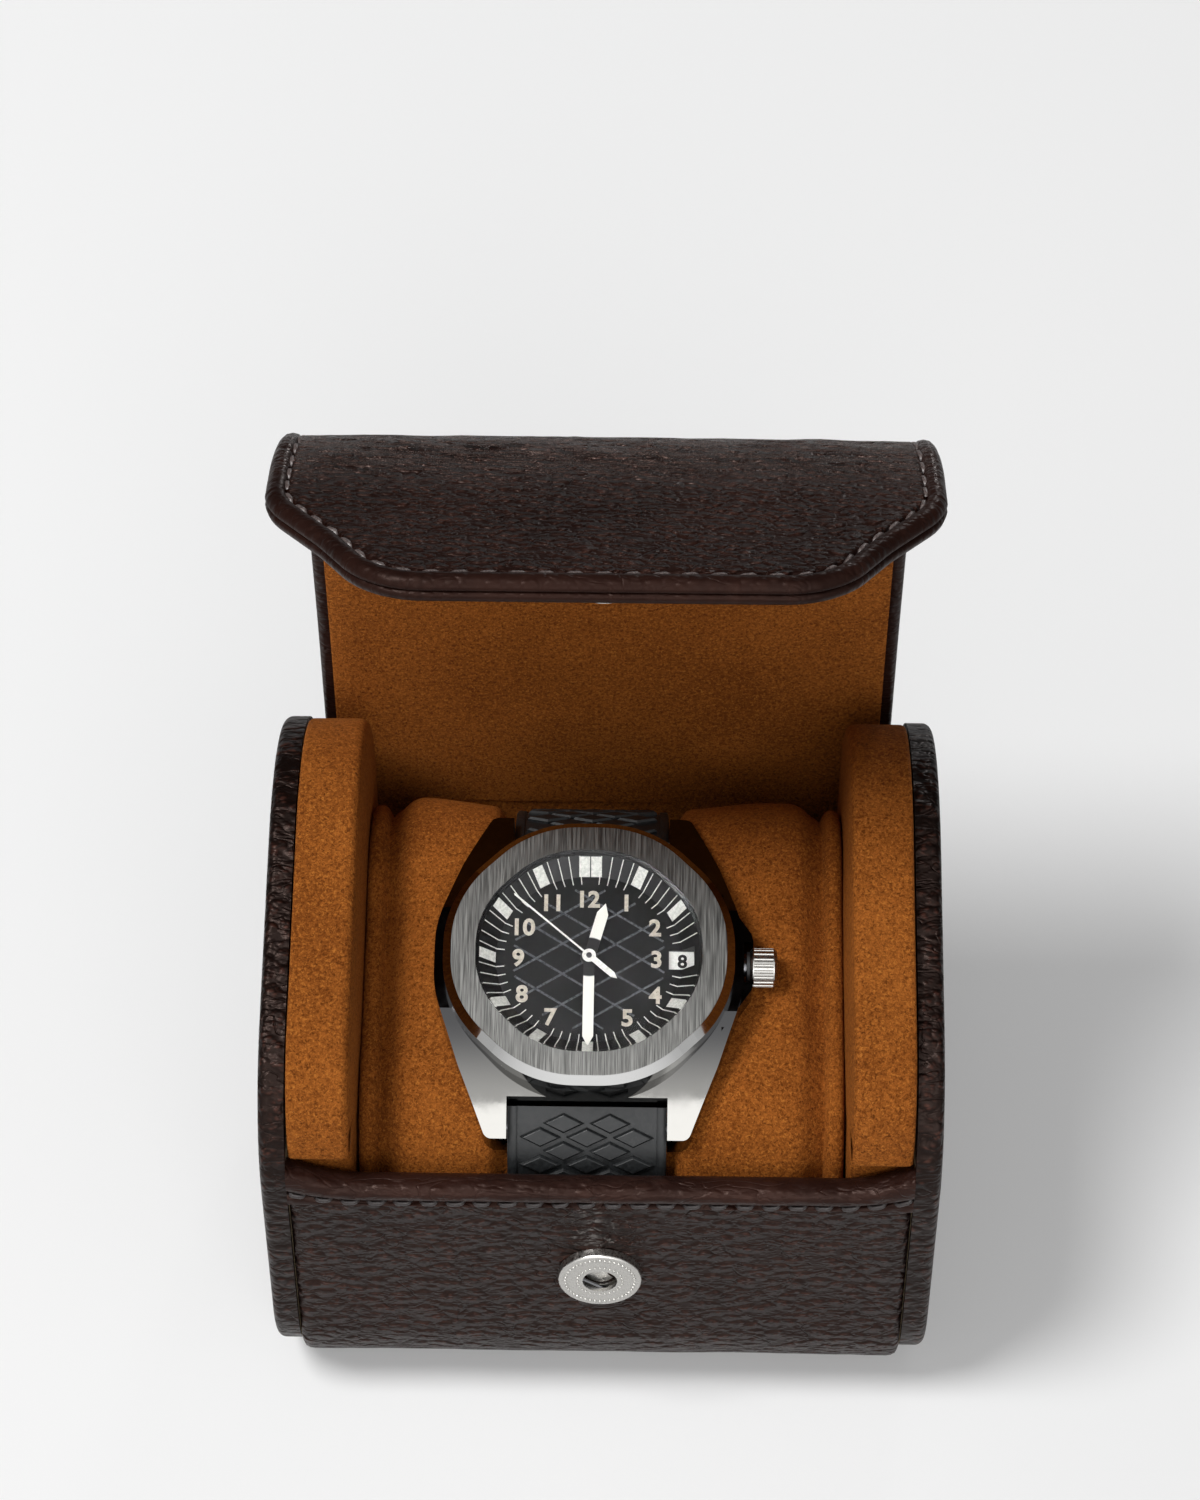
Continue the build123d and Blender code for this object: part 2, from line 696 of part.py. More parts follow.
def make_middle():
    """Case middle with its lugs and flanks, hollow for the movement."""
    w = watch_w / 2
    s = watch_lug_span / 2
    out = watch_lug_out
    shoulder_x, shoulder_y = watch_shoulder
    quarter = [(w, watch_flank), (shoulder_x, shoulder_y), (out, s)]
    quarter_r = [watch_flank_r, watch_shoulder_r, watch_lug_r]
    points = quarter + [(-x, y) for x, y in quarter[::-1]]
    points += [(-x, -y) for x, y in quarter] + [(x, -y) for x, y in quarter[::-1]]
    radii = (quarter_r + quarter_r[::-1]) * 2
    low = bar_z - bar_r - watch_lug_drop
    outline = make_face(FilletPolyline(*points, radius=radii, close=True))
    body = prism(outline, low, watch_z_seat)
    arch = Rot(0, 90, 0) * Cylinder(case_crown_r, 3 * w)
    body &= Pos(0, 0, watch_z_seat + case_crown_lift - case_crown_r) * arch
    body += prism(octagon(bezel_w, bezel_h, bezel_r), watch_z_low, watch_z_seat)
    root = w - guard_root
    peak = w + guard_out
    guard = [
        (root, guard_from), (peak, guard_from),
        (peak - guard_draw, guard_from + guard_nose), (root, guard_to),
    ]
    for side in (-1, 1):
        face = make_face(Polyline(*[(x, side * y) for x, y in guard], close=True))
        body += prism(face, guard_low, guard_high)
    belly = Rot(0, 90, 0) * Cylinder(watch_belly_r, 3 * w)
    body -= Pos(0, 0, watch_z_low - watch_belly_r) * belly
    body -= rod(back_r + run_clear, low - 1, watch_z_low)
    under = slab(cushion_section(cushion_clear), -w - 1, w + 1)
    body -= Pos(0, 0, watch_z_back - cushion_half_t - cushion_clear) * under
    for side in (-1, 1):
        y = sorted((side * (strap_start - strap_end_clear), side * 2 * s))
        body -= block((-lug_gap, lug_gap), y, (low - 1, 0))
        body -= bar(side * bar_y, bar_r, strap_w + 2 * lug_pin)
    body -= rod(cavity_r, watch_z_low - 1, dial_z - dial_t)
    body -= prism(octagon(glass_w, glass_h, glass_r), dial_z - dial_t, watch_z_seat + 1)
    tube_way = slab_rod(tube_r, cavity_r - tube_len, w + tube_len)
    body -= tube_way
    save("watch_middle", watch_at * body)


def make_top():
    """Bezel, glass, sloping chapter ring and dial."""
    opening = octagon(glass_w, glass_h, glass_r)
    bezel = prism(octagon(bezel_w, bezel_h, bezel_r), watch_z_seat, 0)
    top_edges = bezel.faces().sort_by(Axis.Z)[-1].edges()
    bezel = chamfer(top_edges, bezel_chamfer)
    bezel -= prism(opening, watch_z_seat - 1, 1)
    save("bezel", watch_at * bezel)
    glass = prism(octagon(glass_w - 2 * glass_gap, glass_h - 2 * glass_gap, glass_r), glass_low, glass_top)
    glass = chamfer(glass.faces().sort_by(Axis.Z)[-1].edges(), glass_chamfer)
    save("glass", watch_at * glass)
    ring_w = glass_w - 2 * glass_gap
    ring_h = glass_h - 2 * glass_gap
    ring = prism(octagon(ring_w, ring_h, glass_r), dial_z, glass_low)
    run = 2 * chapter_drop
    lip = 2 * chapter_lip
    low = Pos(0, 0, dial_z) * octagon(ring_w - run, ring_h - run, glass_r - chapter_drop / 2)
    high = Pos(0, 0, glass_low) * octagon(ring_w - lip, ring_h - lip, glass_r)
    ring -= loft([low, high])
    save("chapter_ring", watch_at * (ring - window_box))
    dial = prism(octagon(ring_w, ring_h, glass_r), dial_z - dial_t, dial_z)
    dial -= window_box
    dial -= rod(arbor_r + run_clear, watch_z_low, 0)
    save("dial", watch_at * dial)


def make_inside():
    """Date ring, movement, centre arbor and the case back."""
    date_top = dial_z - dial_t - date_gap
    date_low = date_top - date_t
    ring = rod(date_r_out, date_low, date_top) - rod(date_r_in, date_low - 1, date_top + 1)
    save("date_ring", watch_at * ring)
    move_top = date_low - date_gap
    movement = rod(movement_r, watch_z_low + back_spigot, move_top)
    movement += rod(date_r_in - movement_boss_in, move_top, dial_z - dial_t)
    movement -= slab_rod(stem_r + stem_clear, movement_r - stem_depth, cavity_r)
    arbor = rod(arbor_r, move_top - arbor_depth, dial_z + 3 * (hand_t + hand_gap) + hand_gap)
    save("movement", watch_at * (movement - arbor))
    save("hand_arbor", watch_at * arbor)
    back = rod(back_r, watch_z_back, watch_z_low)
    back = fillet(back.edges().filter_by(GeomType.CIRCLE).sort_by(Axis.Z)[0], back_edge_r)
    back += rod(cavity_r - run_clear, watch_z_low, watch_z_low + back_spigot)
    save("watch_back", watch_at * back)


def make_hands():
    """Hour, minute and seconds hands on the centre arbor."""
    bore = rod(arbor_r + run_clear, dial_z, 1)

    def level(n):
        return dial_z + hand_lift + hand_gap + n * (hand_t + hand_gap)

    def pointer(length, width):
        half = width / 2
        points = [(-half, 0), (half, 0), (half, length - width), (0, length), (-half, length - width)]
        return make_face(Polyline(*points, close=True))

    def hand(n, length, angle, width):
        z = level(n)
        blade = prism(pointer(length, width), z, z + hand_t)
        shape = blade + rod(hub_r, z, z + hand_t) - bore
        return Rot(0, 0, angle) * shape

    save("hour_hand", watch_at * hand(0, hour_hand_len, hour_hand_angle, hand_w))
    save("minute_hand", watch_at * hand(1, minute_hand_len, minute_hand_angle, minute_hand_w))
    z = level(2)
    needle = prism(pointer(second_hand_len, second_hand_w), z, z + hand_t)
    tail = prism(pointer(second_tail_len, second_tail_w), z, z + hand_t)
    second = needle + Rot(0, 0, 180) * tail + rod(second_hub_r, z, z + hand_t) - bore
    save("seconds_hand", watch_at * Rot(0, 0, second_hand_angle) * second)


def make_knob():
    """Winding knob with its stem, the tube in the case and the sealing ring."""
    w = watch_w / 2
    base = w + knob_gap
    knob_x = base + gasket_t
    tube = slab_rod(tube_r, base - tube_len, base)
    tube -= slab_rod(stem_r + run_clear, base - tube_len - 1, base + 1)
    save("knob_tube", watch_at * tube)
    knob = slab_rod(knob_r, knob_x, knob_x + knob_len)
    knob = chamfer(knob.edges().filter_by(GeomType.CIRCLE), knob_chamfer)
    flute_at = knob_r + knob_flute_out
    for n in range(knob_flutes):
        a = 2 * pi * n / knob_flutes
        flute = slab_rod(knob_flute_r, knob_x + knob_flute_end, knob_x + knob_len - knob_flute_end)
        knob -= Pos(0, flute_at * cos(a), flute_at * sin(a)) * flute
    knob += slab_rod(stem_r, knob_x - stem_len, knob_x)
    save("winding_knob", watch_at * knob)
    ring = slab_rod(knob_r - gasket_in, base + run_clear, knob_x - run_clear)
    ring -= slab_rod(stem_r + run_clear, base, knob_x)
    save("knob_gasket", watch_at * ring)


if __name__ == "__main__":
    make_case()
    for side_sign, side_name in ((-1, "left"), (1, "right")):
        make_end(side_sign, side_name)
        make_pad(side_sign, side_name)
    make_lid()
    make_flap()
    make_snap()
    make_cushion()
    make_strap()
    make_middle()
    make_top()
    make_inside()
    make_hands()
    make_knob()
    for key, value in lid.items():
        print("lid", key, value)
    print("close angle", lid_close_angle, "flap press angle", flap_press_angle)
    print("flap tip shut", close_flap(lid["tip"]))
    print("watch frame", watch_at.position, watch_at.orientation)
    print("cushion frame", cushion_at.position)
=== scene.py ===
# %% [markdown]
# # A leather watch case in Blender
# The CAD model is the frame: it holds every real size and every joint.
# This lesson dresses it. Hard pieces keep their CAD shape and get a finish. Soft pieces,
# such as the lid's leather, the pads and the cushion, are modelled again as what they are.

import json
import math
import random

import bpy
from mathutils import Matrix, Vector, noise
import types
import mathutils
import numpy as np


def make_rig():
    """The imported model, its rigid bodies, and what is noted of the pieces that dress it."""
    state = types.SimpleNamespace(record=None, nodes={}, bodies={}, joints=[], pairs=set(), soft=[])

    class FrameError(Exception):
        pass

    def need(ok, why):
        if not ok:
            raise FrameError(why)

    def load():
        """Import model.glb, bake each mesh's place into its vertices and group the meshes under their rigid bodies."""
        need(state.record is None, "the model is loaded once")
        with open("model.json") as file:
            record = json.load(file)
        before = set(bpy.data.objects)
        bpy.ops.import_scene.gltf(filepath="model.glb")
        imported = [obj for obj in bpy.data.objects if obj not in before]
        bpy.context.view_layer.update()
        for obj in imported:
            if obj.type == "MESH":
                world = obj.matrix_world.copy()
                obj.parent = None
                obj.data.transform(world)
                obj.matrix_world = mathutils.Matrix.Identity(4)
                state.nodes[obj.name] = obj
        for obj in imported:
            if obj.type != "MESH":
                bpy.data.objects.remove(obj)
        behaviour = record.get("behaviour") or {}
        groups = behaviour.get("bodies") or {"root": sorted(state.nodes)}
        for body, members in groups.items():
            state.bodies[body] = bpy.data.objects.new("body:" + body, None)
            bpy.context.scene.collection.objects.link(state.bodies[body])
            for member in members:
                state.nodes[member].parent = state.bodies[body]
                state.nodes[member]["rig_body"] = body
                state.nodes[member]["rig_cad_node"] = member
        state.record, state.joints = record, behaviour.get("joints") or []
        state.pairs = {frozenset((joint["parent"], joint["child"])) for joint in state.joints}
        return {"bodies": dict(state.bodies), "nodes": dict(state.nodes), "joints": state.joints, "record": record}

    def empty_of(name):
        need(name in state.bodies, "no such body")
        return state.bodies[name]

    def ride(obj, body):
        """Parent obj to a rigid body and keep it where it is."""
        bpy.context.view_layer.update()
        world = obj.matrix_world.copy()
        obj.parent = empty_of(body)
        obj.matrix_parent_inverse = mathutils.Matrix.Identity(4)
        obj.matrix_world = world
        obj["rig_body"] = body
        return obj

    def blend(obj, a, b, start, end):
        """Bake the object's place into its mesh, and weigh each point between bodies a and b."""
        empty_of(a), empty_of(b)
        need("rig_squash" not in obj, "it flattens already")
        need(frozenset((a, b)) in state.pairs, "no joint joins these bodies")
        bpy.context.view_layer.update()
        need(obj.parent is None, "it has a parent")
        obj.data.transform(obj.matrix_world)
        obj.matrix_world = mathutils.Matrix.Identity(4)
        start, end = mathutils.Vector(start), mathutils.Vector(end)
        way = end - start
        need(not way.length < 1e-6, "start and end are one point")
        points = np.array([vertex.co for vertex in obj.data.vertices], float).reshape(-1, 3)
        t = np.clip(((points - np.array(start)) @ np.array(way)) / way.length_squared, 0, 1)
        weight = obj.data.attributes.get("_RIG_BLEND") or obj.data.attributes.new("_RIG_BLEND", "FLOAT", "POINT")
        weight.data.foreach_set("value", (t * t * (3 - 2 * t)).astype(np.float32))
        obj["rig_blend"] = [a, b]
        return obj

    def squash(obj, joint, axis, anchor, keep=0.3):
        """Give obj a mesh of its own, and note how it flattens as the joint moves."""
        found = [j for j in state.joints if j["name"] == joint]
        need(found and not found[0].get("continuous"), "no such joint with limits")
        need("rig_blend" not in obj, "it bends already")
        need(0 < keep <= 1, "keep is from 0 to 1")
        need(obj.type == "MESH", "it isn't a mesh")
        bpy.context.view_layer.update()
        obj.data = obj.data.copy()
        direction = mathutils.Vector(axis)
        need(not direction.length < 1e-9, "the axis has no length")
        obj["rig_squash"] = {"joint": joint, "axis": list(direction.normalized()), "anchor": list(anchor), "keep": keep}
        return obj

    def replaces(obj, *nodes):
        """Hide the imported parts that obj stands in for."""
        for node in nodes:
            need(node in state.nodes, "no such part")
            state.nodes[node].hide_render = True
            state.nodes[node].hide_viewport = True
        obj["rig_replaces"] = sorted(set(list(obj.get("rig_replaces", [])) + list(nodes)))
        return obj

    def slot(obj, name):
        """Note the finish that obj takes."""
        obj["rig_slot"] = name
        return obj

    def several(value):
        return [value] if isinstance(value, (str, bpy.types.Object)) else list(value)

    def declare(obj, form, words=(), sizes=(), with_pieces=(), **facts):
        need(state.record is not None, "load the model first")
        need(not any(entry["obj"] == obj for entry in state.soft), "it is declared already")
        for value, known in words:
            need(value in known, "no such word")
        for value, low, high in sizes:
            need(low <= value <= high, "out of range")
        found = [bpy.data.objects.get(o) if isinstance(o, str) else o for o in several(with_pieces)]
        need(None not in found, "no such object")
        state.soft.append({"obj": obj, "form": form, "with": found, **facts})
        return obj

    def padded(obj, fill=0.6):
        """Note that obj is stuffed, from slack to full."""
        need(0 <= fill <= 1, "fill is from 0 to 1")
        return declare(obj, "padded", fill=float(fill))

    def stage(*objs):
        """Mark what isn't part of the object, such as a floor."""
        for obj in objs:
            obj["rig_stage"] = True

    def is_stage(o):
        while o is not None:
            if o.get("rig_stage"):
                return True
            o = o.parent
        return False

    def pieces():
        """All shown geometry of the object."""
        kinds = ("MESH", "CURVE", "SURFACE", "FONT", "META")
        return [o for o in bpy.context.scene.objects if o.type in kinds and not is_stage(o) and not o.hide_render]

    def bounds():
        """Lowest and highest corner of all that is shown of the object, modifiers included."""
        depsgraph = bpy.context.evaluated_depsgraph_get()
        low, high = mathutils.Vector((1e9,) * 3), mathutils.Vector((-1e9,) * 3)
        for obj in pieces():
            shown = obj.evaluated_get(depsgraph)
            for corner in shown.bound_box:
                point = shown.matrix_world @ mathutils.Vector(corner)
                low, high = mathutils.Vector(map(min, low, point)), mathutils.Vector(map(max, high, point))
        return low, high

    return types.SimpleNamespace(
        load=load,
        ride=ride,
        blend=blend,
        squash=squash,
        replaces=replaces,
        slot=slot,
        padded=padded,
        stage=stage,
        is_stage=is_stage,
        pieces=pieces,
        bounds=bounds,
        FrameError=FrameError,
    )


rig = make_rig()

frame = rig.load()
size_before = [list(corner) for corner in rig.bounds()]
random.seed(7)
nodes = frame["nodes"]
MM = 0.001
print("CAD nodes:", len(nodes))

# %% [markdown]
# ## Small tools
# Every later step uses the same few moves: put a grid down and lay it over a shape, merge,
# close and smooth it, and join copies. Writing them once keeps each step short.


# %% Selecting and finishing
def deselect():
    """Nothing selected, nothing active."""
    if bpy.context.object and bpy.context.object.mode != "OBJECT":
        bpy.ops.object.mode_set(mode="OBJECT")
    bpy.ops.object.select_all(action="DESELECT")


def pick(piece):
    """Only this piece selected and active."""
    deselect()
    piece.select_set(True)
    bpy.context.view_layer.objects.active = piece


def smooth(piece, angle):
    """Smooth shading that keeps the edges that turn by more than the angle."""
    pick(piece)
    bpy.ops.object.shade_smooth_by_angle(angle=math.radians(angle))


def settle(piece):
    """Put the object's own place into its mesh."""
    pick(piece)
    bpy.ops.object.transform_apply(location=True, rotation=True, scale=True)


# %% Closing a grid
MERGE_GAP = 0.00001


def close_up(piece):
    """Merge the grid's meeting edges, close its open ends and turn the faces outwards."""
    pick(piece)
    bpy.ops.object.mode_set(mode="EDIT")
    bpy.ops.mesh.select_all(action="SELECT")
    bpy.ops.mesh.remove_doubles(threshold=MERGE_GAP)
    bpy.ops.mesh.select_all(action="DESELECT")
    bpy.ops.mesh.select_mode(type="EDGE")
    bpy.ops.mesh.select_non_manifold(extend=False, use_wire=False, use_multi_face=False,
                                     use_non_contiguous=False, use_verts=False)
    bpy.ops.mesh.edge_face_add()
    bpy.ops.mesh.select_all(action="SELECT")
    bpy.ops.mesh.normals_make_consistent(inside=False)
    bpy.ops.object.mode_set(mode="OBJECT")


# %% Grids laid over a shape
def lay_grid(name, columns, rows, place, angle):
    """A closed grid whose vertices go where place(u, v) says, smooth up to the angle.

    place also gives a mark: the UV in millimetres and, where the leather is drawn smooth, how calm
    its grain is there, from 0 to 1.
    """
    deselect()
    bpy.ops.mesh.primitive_grid_add(x_subdivisions=columns, y_subdivisions=rows, size=2)
    piece = bpy.context.object
    piece.name = piece.data.name = name
    marks = {}
    for vertex in piece.data.vertices:
        spot, mark = place((vertex.co.x + 1) / 2, (vertex.co.y + 1) / 2)
        marks[vertex.index] = mark
        vertex.co = [c * MM for c in spot]
    layer = piece.data.uv_layers.active.data
    for loop in piece.data.loops:
        layer[loop.index].uv = [m * MM for m in marks[loop.vertex_index][:2]]
    calm = piece.data.attributes.new("calm", "FLOAT", "POINT")
    for index, mark in marks.items():
        calm.data[index].value = mark[2] if len(mark) > 2 else 0.0
    close_up(piece)
    smooth(piece, angle)
    return piece


# %% Copies
def copy_to(master, matrix):
    """A copy with its own mesh, placed by a matrix."""
    copy = master.copy()
    copy.data = master.data.copy()
    bpy.context.collection.objects.link(copy)
    copy.matrix_world = matrix
    return copy


def join(name, copies):
    """Several objects made one."""
    deselect()
    for copy in copies:
        copy.select_set(True)
    bpy.context.view_layer.objects.active = copies[0]
    if len(copies) > 1:
        bpy.ops.object.join()
    piece = bpy.context.object
    piece.name = piece.data.name = name
    settle(piece)
    return piece


def frame_at(spot, along, up):
    """Matrix that puts X along a direction and Z up, at a point in metres."""
    along = Vector(along).normalized()
    side = Vector(up).cross(along).normalized()
    turn = Matrix((along, side, along.cross(side))).transposed().to_4x4()
    return Matrix.Translation(Vector(spot)) @ turn


# %% Curves by number
def ease(x):
    """0 below 0, 1 above 1, smooth between."""
    x = min(max(x, 0.0), 1.0)
    return x * x * (3 - 2 * x)


def ripple(x, y, z=0.0, size=10.0):
    """Smooth unevenness between about -1 and 1, with bumps of a size in millimetres."""
    return noise.noise(Vector((x / size, y / size, z / size)))


def rounded_outline(corners, radii, step):
    """Points and outward normals along a polygon with rounded corners, anticlockwise."""
    points = []
    count = len(corners)
    corners = [Vector(corner) for corner in corners]

    def runs(i):
        """Directions back and on from a corner, half the angle there and the length it takes."""
        back = (corners[i - 1] - corners[i]).normalized()
        on = (corners[(i + 1) % count] - corners[i]).normalized()
        half = back.angle(on) / 2
        return back, on, half, radii[i] / math.tan(half)

    for i in range(count):
        back, on, half, run = runs(i)
        start, end = corners[i] + back * run, corners[i] + on * run
        middle = corners[i] + (back + on).normalized() * (radii[i] / math.sin(half))
        bend = 1 if (-back).x * on.y - (-back).y * on.x > 0 else -1
        turn = (math.pi - 2 * half) * bend
        base = math.atan2(start.y - middle.y, start.x - middle.x)
        parts = max(2, round(abs(turn) * radii[i] / step))
        for k in range(parts + 1):
            angle = base + turn * k / parts
            ray = Vector((math.cos(angle), math.sin(angle)))
            points.append((middle + ray * radii[i], ray * bend))
        after = (i + 1) % count
        far = corners[after] - on * runs(after)[3]
        pieces = max(1, round((far - end).length / step))
        for k in range(1, pieces):
            points.append((end.lerp(far, k / pieces), points[-1][1]))
    return points


# %% [markdown]
# ## Finishes
# Leather, suede and metal are mostly small bumps. Each finish below is built from noise at the
# size that the real surface shows, in the piece's own coordinates, so it stays put in any view.
# A soft piece that bends reads its UV map, which is in metres along and across the leather.


# %% Tools for nodes
class Nodes:
    """A node tree that gets its nodes one line at a time."""

    def __init__(self, tree):
        self.tree = tree

    def node(self, kind, **settings):
        """A new node; each setting is an input of the node or a property of it."""
        made = self.tree.nodes.new(kind)
        for key, value in settings.items():
            if key in made.inputs:
                made.inputs[key].default_value = value
            else:
                setattr(made, key, value)
        return made

    def link(self, out, into):
        """Lead an output to an input."""
        self.tree.links.new(out, into)

    def math(self, operation, a, b=None, c=None):
        """One sum; each term is a number or another node's output."""
        made = self.node("ShaderNodeMath", operation=operation)
        for slot, value in enumerate((a, b, c)):
            if value is None:
                continue
            if isinstance(value, (int, float)):
                made.inputs[slot].default_value = value
            else:
                self.link(value, made.inputs[slot])
        return made.outputs["Value"]

    def between(self, value, low, high, to_low=0.0, to_high=1.0):
        """to_low below low, to_high above high, smooth between."""
        made = self.node("ShaderNodeMapRange", interpolation_type="SMOOTHSTEP")
        for key, number in (("From Min", low), ("From Max", high), ("To Min", to_low),
                            ("To Max", to_high)):
            made.inputs[key].default_value = number
        self.link(value, made.inputs["Value"])
        return made.outputs["Result"]

    def axis(self, where, name):
        """One of the three numbers of a vector."""
        made = self.node("ShaderNodeSeparateXYZ")
        self.link(where, made.inputs["Vector"])
        return made.outputs[name]


# %% Tools for finishes
class Finish(Nodes):
    """A Principled material."""

    def __init__(self, name, colour, roughness=0.5, metallic=0.0, **sockets):
        self.material = bpy.data.materials.new(name)
        self.material.use_nodes = True
        super().__init__(self.material.node_tree)
        self.shader = self.tree.nodes["Principled BSDF"]
        self.set("Base Color", (*colour, 1))
        self.set("Roughness", roughness)
        self.set("Metallic", metallic)
        for key, value in sockets.items():
            self.set(key.replace("_", " ").title().replace("Ior", "IOR"), value)

    def set(self, socket, value):
        """Put a constant on the shader's own socket."""
        self.shader.inputs[socket].default_value = value

    def coordinates(self, use="Object", scale=(1, 1, 1), turn=(0, 0, 0), shift=(0, 0, 0)):
        """The piece's own coordinates or its UV map, in metres."""
        source = self.node("ShaderNodeTexCoord")
        mapping = self.node("ShaderNodeMapping")
        mapping.inputs["Location"].default_value = shift
        mapping.inputs["Rotation"].default_value = turn
        mapping.inputs["Scale"].default_value = scale
        self.link(source.outputs[use], mapping.inputs["Vector"])
        return mapping.outputs["Vector"]

    def noise(self, where, scale, detail=3.0, rough=0.5, distort=0.0):
        """Noise from about 0.3 to 0.7; scale is how many of its bumps fit in a metre."""
        made = self.node("ShaderNodeTexNoise", Scale=scale, Detail=detail, Roughness=rough,
                         Distortion=distort)
        self.link(where, made.inputs["Vector"])
        return made.outputs["Fac"]

    def domes(self, where, scale, soft=0.35, low=0.12, high=0.62):
        """Rounded cells: 1 at the middle of each, 0 in the valleys between them."""
        made = self.node("ShaderNodeTexVoronoi", feature="SMOOTH_F1", Scale=scale)
        made.inputs["Smoothness"].default_value = soft
        self.link(where, made.inputs["Vector"])
        return self.between(made.outputs["Distance"], low, high, 1.0, 0.0)

    def warped(self, where, scale, reach):
        """The same coordinates pushed about by noise, by up to about half of reach."""
        shove = self.node("ShaderNodeTexNoise", Scale=scale, Detail=2.0)
        self.link(where, shove.inputs["Vector"])
        mix = self.node("ShaderNodeVectorMath", operation="MULTIPLY_ADD")
        self.link(shove.outputs["Color"], mix.inputs[0])
        mix.inputs[1].default_value = (reach, reach, reach)
        self.link(where, mix.inputs[2])
        return mix.outputs["Vector"]

    def total(self, *terms):
        """Sum of (value, weight) pairs."""
        result = None
        for value, weight in terms:
            scaled = self.math("MULTIPLY", value, weight)
            result = scaled if result is None else self.math("ADD", result, scaled)
        return result

    def ridge(self, value, width):
        """1 on the thin lines where the value passes its middle, 0 away from them."""
        away = self.math("ABSOLUTE", self.math("SUBTRACT", value, 0.5))
        return self.between(away, 0.0, width, 1.0, 0.0)

    def blend_colour(self, factor, first, second):
        """The first colour where the factor is 0 and the second where it is 1."""
        made = self.node("ShaderNodeMix", data_type="RGBA")
        self.link(factor, made.inputs["Factor"])
        for slot, colour in ((6, first), (7, second)):
            if isinstance(colour, tuple):
                made.inputs[slot].default_value = (*colour, 1)
            else:
                self.link(colour, made.inputs[slot])
        return made.outputs[2]

    def bump(self, height, distance, strength=1.0):
        """Fine relief, too small to model; distance is its height in metres."""
        made = self.node("ShaderNodeBump", Strength=strength, Distance=distance)
        self.link(height, made.inputs["Height"])
        self.link(made.outputs["Normal"], self.shader.inputs["Normal"])

    def paint(self, colour):
        """Lead a colour to the shader."""
        self.link(colour, self.shader.inputs["Base Color"])

    def roughen(self, value):
        """Lead a roughness to the shader."""
        self.link(value, self.shader.inputs["Roughness"])


def wear(piece, finish, slot_name):
    """Give a piece its finish and say which material slot of the record it belongs to."""
    piece.data.materials.clear()
    piece.data.materials.append(finish.material)
    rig.slot(piece, slot_name)


def srgb(text):
    """Colour written as six hex digits, made linear."""
    values = [int(text[i : i + 2], 16) / 255 for i in (0, 2, 4)]
    return tuple(v / 12.92 if v <= 0.04045 else ((v + 0.055) / 1.055) ** 2.4 for v in values)
